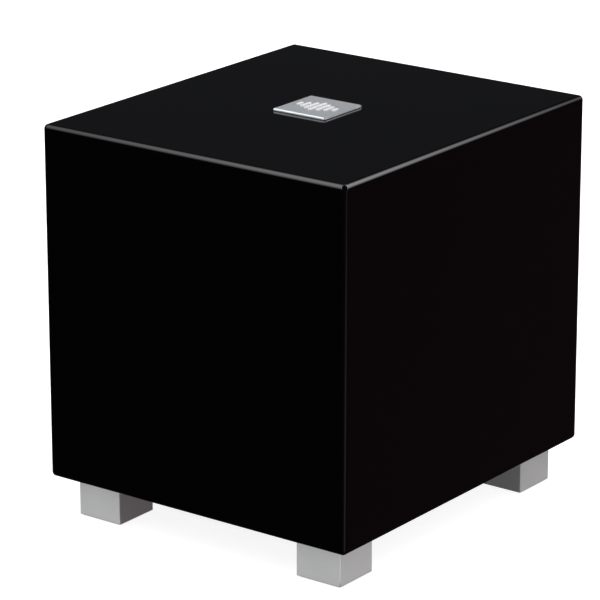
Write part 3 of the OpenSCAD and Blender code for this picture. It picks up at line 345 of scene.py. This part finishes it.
def wire_jacket(name):
    """Black and red sleeves, as stretches of one loom."""
    s = Shader(name)
    cloud = s.noise(60, 2)
    s.bump(s.noise(2500, 2), 0.2, 0.00003)
    colour = s.blend(s.span(cloud, 0, 1, 0.4, 0.6), (0.02, 0.02, 0.022), (0.3, 0.015, 0.012))
    return s.finish(Base_Color=colour, Roughness=s.span(cloud, 0.35, 0.5))


def print_ink(name):
    """White screen printing, thin enough for the panel to show a little."""
    s = Shader(name)
    s.bump(s.noise(3000, 2), 0.2, 0.00002)
    return s.finish(Base_Color=s.blend(s.noise(400, 3), grey(0.55), grey(0.74)),
                    Roughness=s.span(s.noise(700), 0.45, 0.6))


MATERIALS = {
    "black_lacquer": lacquer(),
    "black_board": board("black_board", grey(0.006), grey(0.02), 0.42, painted_over=True),
    "raw_board": board("raw_board", (0.3, 0.19, 0.1), (0.6, 0.44, 0.28)),
    "wadding": fluff("wadding"),
    "badge_adhesive": rubber("badge_adhesive", 0.01, 0.7, 1500),
    "badge_metal": satin_metal("badge_metal", 0.74, 0.3, diffuse=0.4, grain=2600, streak=(0.04, 1, 1),
                               tint=0.07),
    "badge_emblem": satin_metal("badge_emblem", 0.97, 0.22, diffuse=0.8, grain=3000, streak=(1, 0.04, 1)),
    "foot_metal": satin_metal("foot_metal", 0.74, 0.3, diffuse=0.12, mottle=0.06),
    "black_rubber": rubber("black_rubber", 0.012),
    "gasket_foam": rubber("gasket_foam", 0.02, 0.8, 1200),
    "zinc_steel": coloured_metal("zinc_steel", (0.62, 0.62, 0.64), 0.3),
    "black_steel": painted("black_steel", 0.02, 0.35, 2600, 0.00003),
    "brass": coloured_metal("brass", (0.78, 0.57, 0.25), 0.28),
    "basket_steel": painted("basket_steel", 0.016, 0.42, 1400),
    "cone_paper": cone_paper("cone_paper", 0.022),
    "dust_cap": cone_paper("dust_cap", 0.03, rings=False),
    "former_foil": coloured_metal("former_foil", (0.55, 0.3, 0.1), 0.35),
    "copper_wire": coloured_metal("copper_wire", (0.75, 0.32, 0.15), 0.3, (1, 1, 8)),
    "spider_cloth": woven("spider_cloth", (0.42, 0.3, 0.12), (0.72, 0.55, 0.26)),
    "plated_iron": coloured_metal("plated_iron", (0.55, 0.55, 0.57), 0.38),
    "ferrite": board("ferrite", grey(0.025), grey(0.07), 0.6),
    "terminal_board": board("terminal_board", (0.12, 0.06, 0.025), (0.3, 0.17, 0.08), 0.45),
    "amp_panel": painted("amp_panel", 0.014, 0.4),
    "heat_sink": satin_metal("heat_sink", 0.03, 0.42, diffuse=0.5, grain=2400, streak=(1, 1, 0.03),
                             mottle=0.3),
    "knob_plastic": plastic("knob_plastic", grey(0.016), 0.38),
    "socket_plastic": plastic("socket_plastic", grey(0.02), 0.42),
    "rocker_plastic": plastic("rocker_plastic", grey(0.016), 0.2, 1800, 0.1, coat=0.3),
    "phono_plastic": phono_plastic("phono_plastic"),
    "gold_plate": coloured_metal("gold_plate", (0.86, 0.62, 0.26), 0.18),
    "led_lens": lens("led_lens"),
    "fuse_glass": fuse_glass("fuse_glass"),
    "circuit_board": circuit_board("circuit_board"),
    "winding_tape": plastic("winding_tape", (0.1, 0.09, 0.03), 0.35, 700, 0.3),
    "component_case": plastic("component_case", (0.03, 0.03, 0.05), 0.3),
    "transistor_case": plastic("transistor_case", grey(0.022), 0.5),
    "wire_jacket": wire_jacket("wire_jacket"),
}
INK = print_ink("white_ink")

for part in frame["record"]["subparts"]:
    node = NODES[part["node"]]
    node.data.materials.clear()
    node.data.materials.append(MATERIALS[part["material_slot"]])

# --------------------------------------------------------------------------- mesh helpers


def new_piece(name, verts, faces, material, smooth=True):
    """Object with its faces turned outward and its material."""
    mesh = bpy.data.meshes.new(name)
    mesh.from_pydata([tuple(v) for v in verts], [], faces)
    mesh.validate()
    bm = bmesh.new()
    bm.from_mesh(mesh)
    bmesh.ops.recalc_face_normals(bm, faces=bm.faces)
    bm.to_mesh(mesh)
    bm.free()
    mesh.polygons.foreach_set("use_smooth", [smooth] * len(mesh.polygons))
    piece = bpy.data.objects.new(name, mesh)
    bpy.context.scene.collection.objects.link(piece)
    mesh.materials.append(material)
    return piece


def bevelled(piece, width, segments=3):
    """Eases the hard edges without touching the mesh itself."""
    bevel = piece.modifiers.new("edge", "BEVEL")
    bevel.width = width
    bevel.segments = segments
    bevel.limit_method = "ANGLE"
    bevel.angle_limit = math.radians(35)
    bevel.use_clamp_overlap = True
    bevel.harden_normals = True


def lathe(name, profile, centre, slot, steps):
    """Turns a closed profile of (radius, z) round the vertical through centre."""
    count = len(profile)
    verts = [Vector((centre[0] + r * math.cos(a), centre[1] + r * math.sin(a), z))
             for a in (2 * math.pi * i / steps for i in range(steps)) for r, z in profile]
    faces = [(i * count + k, ((i + 1) % steps) * count + k,
              ((i + 1) % steps) * count + (k + 1) % count, i * count + (k + 1) % count)
             for i in range(steps) for k in range(count)]
    return new_piece(name, verts, faces, MATERIALS[slot])


def set_blend(piece):
    """Bakes the piece's placement into its mesh."""
    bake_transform(piece)


# --------------------------------------------------------------------------- driver


def follow_cone(piece):
    """Bakes the piece's placement into its mesh, through set_blend."""
    set_blend(piece)


def make_surround():
    """Half roll of rubber that bulges down, with a flat flange outside and a flat land on the cone."""
    lo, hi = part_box("driver_surround")
    thick = 1.0 * MM
    roll = (hi.z - lo.z) - thick
    base = hi.z - thick
    outer_r, roll_c, inner_r = (hi.x - lo.x) / 2, 79 * MM, 66 * MM
    turn = [math.pi * i / 28 for i in range(29)]
    under = [(roll_c + roll * math.cos(a), base - roll * math.sin(a)) for a in turn]
    over = [(roll_c + (roll - thick) * math.cos(a), base - (roll - thick) * math.sin(a)) for a in turn]
    lip = 0.35 * MM
    profile = ([(outer_r, hi.z), (outer_r, base + lip), (outer_r - lip, base)] + under
               + [(inner_r + lip, base), (inner_r, base + lip), (inner_r, hi.z)]
               + [(roll_c - roll + thick, hi.z)] + list(reversed(over)) + [(roll_c + roll - thick, hi.z)])
    piece = lathe("rubber_surround", profile, AXIS, "black_rubber", 224)
    follow_cone(piece)
    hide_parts("driver_surround")


def make_spider():
    """Flat cloth ring with five ripples."""
    lo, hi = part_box("driver_spider")
    top, thick, height = hi.z, 0.7 * MM, 1.7 * MM
    inner, wave_in, wave_out, outer = 20.1 * MM, 25 * MM, 51 * MM, (hi.x - lo.x) / 2
    ripples, steps = 5, 90
    wave = [(wave_in + (wave_out - wave_in) * i / steps,
             top - height * (1 - math.cos(2 * math.pi * ripples * i / steps)) / 2) for i in range(steps + 1)]
    upper = [(inner, top)] + wave + [(outer, top)]
    lower = [(r, z - thick) for r, z in reversed(upper)]
    piece = lathe("cloth_spider", upper + lower, AXIS, "spider_cloth", 128)
    follow_cone(piece)
    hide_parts("driver_spider")


def smooth_path(points):
    """Catmull-Rom curve through the points, with the end points repeated."""
    steps, path = 10, []
    last = len(points) - 1
    for i in range(last):
        a, b, c, d = (Vector(points[max(0, min(last, k))]) for k in (i - 1, i, i + 1, i + 2))
        square, cube = 2 * a - 5 * b + 4 * c - d, 3 * b - a - 3 * c + d
        for k in range(steps + (i == last - 1)):
            t = k / steps
            path.append(0.5 * (2 * b + (c - a) * t + square * t * t + cube * t ** 3))
    return path


def braid(path, radius, sides, twist, depth):
    """Vertices and faces of a round tube whose surface ripples like a twisted braid."""
    verts, faces = [], []
    up = Vector((0.2, 0.1, 1)).normalized()
    for i, point in enumerate(path):
        heading = (path[min(i + 1, len(path) - 1)] - path[max(i - 1, 0)]).normalized()
        u = heading.cross(up).normalized()
        v = heading.cross(u)
        for k in range(sides):
            a = 2 * math.pi * k / sides
            r = radius * (1 - depth * (0.5 + 0.5 * math.cos(3 * a + twist * i)))
            verts.append(point + r * (math.cos(a) * u + math.sin(a) * v))
    for i in range(len(path) - 1):
        for k in range(sides):
            n = (k + 1) % sides
            faces.append((i * sides + k, i * sides + n, (i + 1) * sides + n, (i + 1) * sides + k))
    faces += [tuple(range(sides)), tuple((len(path) - 1) * sides + k for k in range(sides))]
    return verts, faces


TINSEL_ROUTE = [(9, 38.5, 50.7), (11, 48, 57), (13.5, 57, 58.5), (15.5, 67, 60), (16.5, 74, 63.5),
                (14, 77.5, 64.5), (9, 75.3, 61.9)]      # in mm, from the cone to the terminal
TINSEL_R = 0.7 * MM


def make_tinsel_leads():
    """Two braided leads, the second one the mirror image of the first."""
    path = [p * MM for p in smooth_path(TINSEL_ROUTE)]
    verts, faces = braid(path, TINSEL_R, sides=10, twist=0.9, depth=0.22)
    count = len(verts)
    verts = verts + [Vector((-v.x, v.y, v.z)) for v in verts]
    faces = faces + [tuple(i + count for i in f) for f in faces]
    piece = new_piece("tinsel_lead_pair", verts, faces, MATERIALS["copper_wire"])
    set_blend(piece)
    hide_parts("tinsel_leads")


make_surround()
make_spider()
make_tinsel_leads()

# --------------------------------------------------------------------------- wadding


def make_wadding():
    """Three lofted pads, thicker in the middle than at their edges."""
    lo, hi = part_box("wadding")
    clear = 0.3 * MM
    thick, half_front, side_start = 18 * MM - clear, 91.5 * MM, 24 * MM - clear
    front = (Vector((-half_front, lo.y, lo.z)), Vector((half_front, lo.y + thick, hi.z)))
    sides = [(Vector((min(a, b), lo.y + side_start, lo.z)), Vector((max(a, b), hi.y, hi.z)))
             for a, b in ((hi.x, hi.x - thick), (lo.x, lo.x + thick))]
    edge_share, crown, lumps, lump_scale = 0.52, 0.4, 0.16, 3.1     # shares of the pad's thickness
    ragged, ragged_scale = 0.03, 2.3                                # how far its outline wanders
    verts, faces = [], []
    for number, (low, high) in enumerate([front] + sides):
        size = high - low
        thin = 0 if size.x < size.y else 1
        bm = bmesh.new()
        bmesh.ops.create_cube(bm, size=1)
        bmesh.ops.subdivide_edges(bm, edges=bm.edges, cuts=14, use_grid_fill=True)
        for v in bm.verts:
            u = [2 * c for c in v.co]
            rim = max(abs(u[k]) for k in range(3) if k != thin)
            lump = noise.noise(Vector(u) * lump_scale + Vector((number * 7.0, 0, 0)))
            u[thin] *= min(edge_share + crown * (1 - rim ** 4) + lumps * lump, 1.0)
            for k in range(3):
                if k != thin:
                    wander = noise.noise(Vector(u) * ragged_scale + Vector((0, number * 5.0, 3)))
                    u[k] *= 1 - ragged + ragged * wander
            v.co = Vector((low[k] + size[k] * (0.5 + 0.5 * max(-1.0, min(1.0, u[k]))) for k in range(3)))
        start = len(verts)
        bm.verts.ensure_lookup_table()
        verts += [v.co.copy() for v in bm.verts]
        faces += [tuple(v.index + start for v in f.verts) for f in bm.faces]
        bm.free()
    piece = new_piece("wadding_pads", verts, faces, MATERIALS["wadding"])
    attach(piece, ROOT)
    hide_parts("wadding")


make_wadding()

# --------------------------------------------------------------------------- printing

PANEL_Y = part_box("amp_panel")[1].y     # the panel's outside face
INK_T = 0.05 * MM
STROKES = {     # digits as strokes on a grid 2 wide and 4 high
    "0": [((0, 0), (0, 4)), ((0, 4), (2, 4)), ((2, 4), (2, 0)), ((2, 0), (0, 0))],
    "1": [((1, 0), (1, 4)), ((0.3, 3.3), (1, 4))],
    "2": [((0, 4), (2, 4)), ((2, 4), (2, 2)), ((2, 2), (0, 2)), ((0, 2), (0, 0)), ((0, 0), (2, 0))],
    "4": [((0, 4), (0, 2)), ((0, 2), (2, 2)), ((2, 4), (2, 0))],
    "6": [((2, 4), (0, 4)), ((0, 4), (0, 0)), ((0, 0), (2, 0)), ((2, 0), (2, 2)), ((2, 2), (0, 2))],
    "8": [((0, 0), (0, 4)), ((0, 4), (2, 4)), ((2, 4), (2, 0)), ((2, 0), (0, 0)), ((0, 2), (2, 2))],
}


class Print:
    """Collects thin printed strokes on a plane whose right, up and outward directions are given."""

    def __init__(self, origin, right, up):
        self.origin, self.right, self.up = Vector(origin), Vector(right), Vector(up)
        self.out = self.right.cross(self.up)
        self.verts, self.faces = [], []

    def outline(self, points):
        """Thin plate with this outline."""
        start, n = len(self.verts), len(points)
        for lift in (0, INK_T):
            self.verts += [self.origin + self.right * x + self.up * y + self.out * lift for x, y in points]
        self.faces += [tuple(start + k for k in range(n)), tuple(start + n + k for k in range(n))]
        self.faces += [(start + k, start + (k + 1) % n, start + n + (k + 1) % n, start + n + k)
                       for k in range(n)]

    def stroke(self, a, b, width):
        a, b = Vector(a), Vector(b)
        along = (b - a).normalized() * width / 2
        side = Vector((-along.y, along.x))
        a, b = a - along, b + along
        self.outline([tuple(a + side), tuple(a - side), tuple(b - side), tuple(b + side)])

    def number(self, text, x, y, height):
        """Digits centred on a point."""
        unit = height / 4
        step = 3.1 * unit
        left = x - (len(text) * step - 1.1 * unit) / 2
        for i, digit in enumerate(text):
            for a, b in STROKES[digit]:
                self.stroke(*[(left + i * step + p * unit, y - height / 2 + q * unit) for p, q in (a, b)],
                            width=0.62 * unit)

    def arc(self, x, y, radius, width, start, steps=8):
        """Quarter turn, clockwise from start degrees past upright."""
        for i in range(steps):
            a, b = (math.radians(start + 90 * (i + k) / steps) for k in (0, 1))
            self.outline([(x + r * math.sin(t), y + r * math.cos(t))
                          for r, t in ((radius, a), (radius, b), (radius + width, b), (radius + width, a))])

    def frame(self, left, right, low, high, corner, width):
        """Rectangle of thin lines with round corners."""
        for y in (low, high):
            self.stroke((left + corner, y), (right - corner, y), width)
        for x in (left, right):
            self.stroke((x, low + corner), (x, high - corner), width)
        for x, y, start in ((right - corner, high - corner, 0), (right - corner, low + corner, 90),
                            (left + corner, low + corner, 180), (left + corner, high - corner, 270)):
            self.arc(x, y, corner - width / 2, width, start)

    def piece(self, name, body, material, slot):
        """Turns the strokes into a piece that rides on the body."""
        made = new_piece(name, self.verts, self.faces, material, smooth=False)
        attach(made, body)


def panel_print():
    """Dial scales, frames round the groups and switch symbols, seen from behind: right is -X."""
    ink = Print((0, PANEL_Y, 0), (-1, 0, 0), (0, 0, 1))
    digit_h, coarse, fine = 2.2 * MM, 0.45 * MM, 0.3 * MM
    tick_in, tick_out, tick_short, number_r = 10.6 * MM, 12.6 * MM, 11.7 * MM, 15.4 * MM
    level_scale = ("0", "2", "4", "6", "8", "10")
    scales = {"high_level_knob": level_scale, "low_level_knob": level_scale,
              "crossover_knob": ("40", "60", "80", "100", "120")}
    for knob, labels in scales.items():
        c = centre_of(knob)
        x, y = -c.x, c.z
        ticks = 2 * (len(labels) - 1)
        for i in range(ticks + 1):
            a = math.radians(-135 + 270 * i / ticks)
            major = i % 2 == 0
            end = tick_out if major else tick_short
            ink.stroke((x + tick_in * math.sin(a), y + tick_in * math.cos(a)),
                       (x + end * math.sin(a), y + end * math.cos(a)), coarse if major else fine)
            if major:
                ink.number(labels[i // 2], x + number_r * math.sin(a), y + number_r * math.cos(a), digit_h)
    lever, beside = centre_of("phase_switch_body"), 8.2 * MM
    ink.number("0", -lever.x, lever.z + beside, digit_h)
    ink.number("180", -lever.x, lever.z - beside, digit_h)
    sockets, half_h, corner = centre_of("phono_sockets").z, 9 * MM, 2.5 * MM
    pair, single = (-77.5 * MM, -42.5 * MM), (-32 * MM, -16 * MM)
    for left, right in (pair, single):
        ink.frame(left, right, sockets - half_h, sockets + half_h, corner, fine)
    ink.piece("panel_print", ROOT, INK, "amp_panel")


def knob_pointers():
    """White line let into the groove across each knob's face."""
    half_w, bottom, top, start, end = (v * MM for v in (0.42, 0.68, 0.25, 1.9, 6.3))
    for name in ("high_level", "low_level", "crossover"):
        lo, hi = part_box(name + "_knob")
        x, z = (lo.x + hi.x) / 2, (lo.z + hi.z) / 2
        low = Vector((x - half_w, hi.y - bottom, z + start))
        high = Vector((x + half_w, hi.y - top, z + end))
        corners = [(a, b, c) for a in (low.x, high.x) for b in (low.y, high.y) for c in (low.z, high.z)]
        faces = [(0, 1, 3, 2), (4, 6, 7, 5), (0, 4, 5, 1), (2, 3, 7, 6), (0, 2, 6, 4), (1, 5, 7, 3)]
        piece = new_piece(name + "_pointer", corners, faces, INK, smooth=False)
        bevelled(piece, 0.12 * MM, 2)
        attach(piece, name + "_control")


panel_print()
knob_pointers()

# --------------------------------------------------------------------------- eased edges on the CAD nodes

EDGES = {     # widths in mm
    "badge_plate": 0.12, "badge_emblem": 0.12,
    "foot_front_left": 0.3, "foot_front_right": 0.3, "foot_rear_left": 0.3, "foot_rear_right": 0.3,
    "foot_pads": 0.4,
    "amp_panel": 0.35, "heat_sink": 0.3, "mains_inlet": 0.3, "fuse_drawer": 0.3, "power_switch_frame": 0.3,
    "speaker_socket": 0.3, "phono_sockets": 0.15, "control_nuts": 0.2, "driver_screws": 0.2,
    "mains_terminals": 0.2, "driver_basket": 0.2, "base_panel": 0.4, "board_components": 0.5,
}
for name, width in EDGES.items():
    bevelled(NODES[name], width * MM)

# --------------------------------------------------------------------------- floor


def bare_material(name):
    """A material with nothing on its output yet, and the graph to build it in."""
    material = bpy.data.materials.new(name)
    material.use_nodes = True
    graph = Graph(material.node_tree)
    graph.tree.nodes.remove(graph.tree.nodes["Principled BSDF"])
    return material, graph


def sheet(name, corners, material):
    """Flat stage piece through the corners."""
    mesh = bpy.data.meshes.new(name)
    mesh.from_pydata(corners, [], [tuple(range(len(corners)))])
    made = bpy.data.objects.new(name, mesh)
    bpy.context.scene.collection.objects.link(made)
    mesh.materials.append(material)
    return made


def level(x0, y0, x1, y1, z):
    return [(x0, y0, z), (x1, y0, z), (x1, y1, z), (x0, y1, z)]


def floor_material():
    """Pale floor, bright enough to leave only a breath of shadow.

    Seen from below it is clear, so that the underside shows.
    """
    material, graph = bare_material("pale_floor")
    glow = graph.node("ShaderNodeEmission", {"Strength": 0.86}).outputs[0]
    paint = graph.node("ShaderNodeBsdfDiffuse", {"Color": (0.5, 0.5, 0.5, 1)}).outputs[0]
    clear = graph.node("ShaderNodeBsdfTransparent").outputs[0]
    below = graph.node("ShaderNodeNewGeometry").outputs["Backfacing"]
    graph.show(graph.mixed(below, graph.added(glow, paint), clear))
    return material


FLOOR_HALF, FLOOR_Z = 8, -0.0002
floor = sheet("floor", level(-FLOOR_HALF, -FLOOR_HALF, FLOOR_HALF, FLOOR_HALF, FLOOR_Z), floor_material())
floor.visible_glossy = False

# --------------------------------------------------------------------------- cards that only reflections see


def group(name, parts):
    """Parts that a card is meant for; the others don't see it."""
    made = bpy.data.collections.new(name)
    for part in parts:
        made.objects.link(NODES[part])
    return made


FEET = [name for name in NODES if name.startswith("foot_")]
BADGE_PARTS = [name for name in NODES if name.startswith("badge_")]
feet_only, badge_only = group("lit_feet", FEET), group("lit_badge", BADGE_PARTS)
cabinet_only = group("lit_cabinet", ["cabinet_shell"])
all_but_badge = group("lit_rest", [name for name in NODES if name not in BADGE_PARTS])
fittings = group("lit_fittings", [name for name in NODES
                                  if name not in BADGE_PARTS + FEET + ["cabinet_shell"]])


def emitter(name, strength):
    """Glow that hides nothing behind it. strength is a number, or works one out in the material's graph."""
    material, graph = bare_material(name)
    if callable(strength):
        strength = strength(graph)
    glow = graph.node("ShaderNodeEmission", {"Color": (1, 1, 1, 1), "Strength": strength}).outputs[0]
    graph.show(graph.added(glow, graph.node("ShaderNodeBsdfTransparent").outputs[0]))
    return material


SIDE_FADE = 0.34     # share of a soft card's width, from its middle, where its sides start to fade


def soft_emitter(name, radiance, short_low, short_high):
    """Glow that fades out towards the card's ends and sides. Across it goes from short_low to short_high."""

    def strength(graph):
        place = graph.axes(graph.node("ShaderNodeTexCoord").outputs["UV"])

        def fade(value, start):
            off_middle = graph.maths("ABSOLUTE", graph.maths("SUBTRACT", value, 0.5))
            return graph.span(off_middle, 1.0, 0.0, start, 0.5, "SMOOTHSTEP")

        across = graph.span(place["Y"], short_low, short_high, kind="SMOOTHSTEP")
        across = graph.maths("MULTIPLY", across, fade(place["Y"], SIDE_FADE))
        shape = graph.maths("MULTIPLY", fade(place["X"], 0.0), across)
        return graph.maths("MULTIPLY", shape, radiance)

    return emitter(name, strength)


def card(name, corners, material, lit):
    """Emissive sheet that only reflections in the parts of the group lit see."""
    made = sheet(name, corners, material)
    made.visible_camera = made.visible_diffuse = made.visible_shadow = made.visible_transmission = False
    made.light_linking.receiver_collection = lit
    return made


def hung_card(name, seen_from, toward, distance, along, length, width, material, lit):
    """Card facing seen_from, its long side lying along the given direction. UV runs 0 to 1 over it."""
    toward = Vector(toward).normalized()
    middle = Vector(seen_from) + toward * distance
    long_way = Vector(along)
    long_way = (long_way - toward * long_way.dot(toward)).normalized()
    short_way = toward.cross(long_way)
    corners = [middle + long_way * (length / 2 * i) + short_way * (width / 2 * k)
               for i, k in ((-1, -1), (1, -1), (1, 1), (-1, 1))]
    layer = card(name, corners, material, lit).data.uv_layers.new(name="UVMap")
    for loop, uv in zip(layer.data, ((0, 0), (1, 0), (1, 1), (0, 1))):
        loop.uv = uv


# Cards on the floor for the feet: bright outside them, dim between them, brightest off the near corner
CARD_Z = 0.0003     # just over the floor; the rows below are a name, two corners in metres and a glow
RADIANCES = {"bright": 0.485, "side": 0.4, "rear": 0.32, "dim": 0.012, "spark": 0.95}
glows = {name: emitter("card_" + name, value) for name, value in RADIANCES.items()}
for name, x0, y0, x1, y1, glow in (
        ("front_left", -0.182, -0.222, -0.075, -0.1412, "bright"),
        ("front_right", 0.018, -0.222, 0.119, -0.1412, "bright"),
        ("right", 0.1202, -0.140, 0.181, 0.040, "side"),
        ("right_rear", 0.1202, 0.040, 0.181, 0.210, "rear"),
        ("left", -0.181, -0.140, -0.1202, 0.210, "bright"),
        ("back", -0.1202, 0.1292, 0.1202, 0.210, "bright"),
        ("middle", -0.119, -0.140, 0.119, 0.128, "dim"),
        ("corner", 0.1235, -0.205, 0.183, -0.1445, "spark")):
    card("card_" + name, level(x0, y0, x1, y1, CARD_Z), glows[glow], feet_only)

# Soft sources for the cabinet's edges: overhead on the left, behind on the right and low on the right
NEAR_EDGE, TOP_FRONT, TOP_RIGHT = (0.133, -0.155, 0.15), (0, -0.155, 0.3), (0.133, -0.006, 0.3)
hung_card("glow_right", NEAR_EDGE, (0.944, -0.116, -0.309), 1.6, (0.122, 0.9925, 0.4), 2.8, 0.6,
          soft_emitter("glow_right", 0.36, 1.3, 0.0), cabinet_only)
hung_card("glow_left", TOP_FRONT, (-0.58, -0.47, 0.66), 1.2, (0.15, -0.8, -0.6), 4.2, 1.0,
          soft_emitter("glow_left", 3.6, 0.12, 1.35), all_but_badge)
hung_card("glow_back", TOP_RIGHT, (0.41, 0.762, 0.50), 1.3, (0.76, 0, -0.65), 3.7, 0.8,
          soft_emitter("glow_back", 4.0, 1.6, 0.0), all_but_badge)

# Strips for the badge's edge: one for its chamfer, and two for the image of its sides in the lacquer
BADGE, CORNERWISE = (0, -0.006, 0.301), (0.8, -0.6, 0)
for name, toward, length, width, radiance in (
        ("strip_top", (-0.573, -0.257, 0.778), 0.6, 0.35, 2.3),
        ("strip_front", (-0.578, -0.7735, 0.259), 0.8, 0.3, 1.5),
        ("strip_right", (0.578, 0.7735, 0.259), 0.8, 0.3, 1.3)):
    hung_card(name, BADGE, toward, 1.2, CORNERWISE, length, width, emitter(name, radiance), badge_only)

# A pair of tall cards behind, which only the fittings on the back and the driver see
PANEL, UPRIGHT = (0, 0.14, 0.17), (0, 0, 1)
hung_card("glow_rear_left", PANEL, (-0.72, 0.64, 0.27), 1.1, UPRIGHT, 1.7, 0.55,
          soft_emitter("glow_rear_left", 1.6, 0.5, 1.2), fittings)
hung_card("glow_rear_right", PANEL, (0.85, 0.5, 0.15), 1.1, UPRIGHT, 1.7, 0.45,
          soft_emitter("glow_rear_right", 1.1, 1.2, 0.4), fittings)

# --------------------------------------------------------------------------- lights and room


def softbox(name, place, aim, width, height, radiance):
    """Rectangular light for matt surfaces; radiance is the brightness of its face."""
    light = bpy.data.lights.new(name, "AREA")
    light.shape = "RECTANGLE"
    light.size, light.size_y = width, height
    light.energy = radiance * math.pi * width * height
    lamp = bpy.data.objects.new(name, light)
    bpy.context.scene.collection.objects.link(lamp)
    lamp.location = place
    lamp.rotation_mode = "QUATERNION"
    lamp.rotation_quaternion = (Vector(aim) - Vector(place)).to_track_quat("-Z", "Y")
    lamp.visible_camera = lamp.visible_glossy = False


TARGET = (0, -0.006, 0.2)
softbox("softbox_left", (-1.15, -0.45, 1.75), TARGET, 1.2, 2.6, 1.6)
softbox("softbox_back", (0.55, 1.9, 1.45), TARGET, 2.0, 1.0, 2.2)

# White all round for the camera and matt surfaces. Reflections see a dark room, warmer low on the right
LOW_LEFT, LOW_RIGHT, HIGH = (0.004, 0.0035, 0.0035), (0.037, 0.019, 0.024), (0.030, 0.0305, 0.034)
world = bpy.data.worlds.new("studio")
bpy.context.scene.world = world
world.use_nodes = True
room = Graph(world.node_tree)
way = room.axes(room.node("ShaderNodeTexCoord").outputs["Generated"])
below = room.blend(room.span(way["X"], 0.0, 1.0, -0.3, 0.5), LOW_LEFT, LOW_RIGHT)
colour = room.blend(room.span(way["Z"], 0.0, 1.0, -0.1, 0.15), below, HIGH)
pale = room.tree.nodes["Background"]
pale.inputs["Color"].default_value, pale.inputs["Strength"].default_value = (1, 1, 1, 1), 1.0
dark = room.node("ShaderNodeBackground", {"Color": colour})
reflected = room.node("ShaderNodeLightPath").outputs["Is Glossy Ray"]
room.show(room.mixed(reflected, pale.outputs[0], dark.outputs[0]), "World Output")

# --------------------------------------------------------------------------- camera

# The camera stands in front and to the right, a little above, with a long lens
azimuth, elevation, roll = math.radians(36.735), math.radians(18.02), math.radians(-0.058)
camera = bpy.data.cameras.new("camera")
camera.sensor_width, camera.lens = 36.0, 212.4
camera.clip_start, camera.clip_end = 0.05, 50
viewer = bpy.data.objects.new("camera", camera)
bpy.context.scene.collection.objects.link(viewer)
back = Vector((math.sin(azimuth) * math.cos(elevation), -math.cos(azimuth) * math.cos(elevation),
               math.sin(elevation)))
right = Vector((math.cos(azimuth), math.sin(azimuth), 0))
up = back.cross(right)
turned = Matrix.Rotation(roll, 3, back)
axes = Matrix((turned @ right, turned @ up, back)).transposed()
viewer.rotation_mode = "QUATERNION"
viewer.rotation_quaternion = axes.to_quaternion()
viewer.location = (1.4716, -1.9991, 0.9608)
bpy.context.scene.camera = viewer
bpy.context.scene.view_settings.view_transform = "Standard"
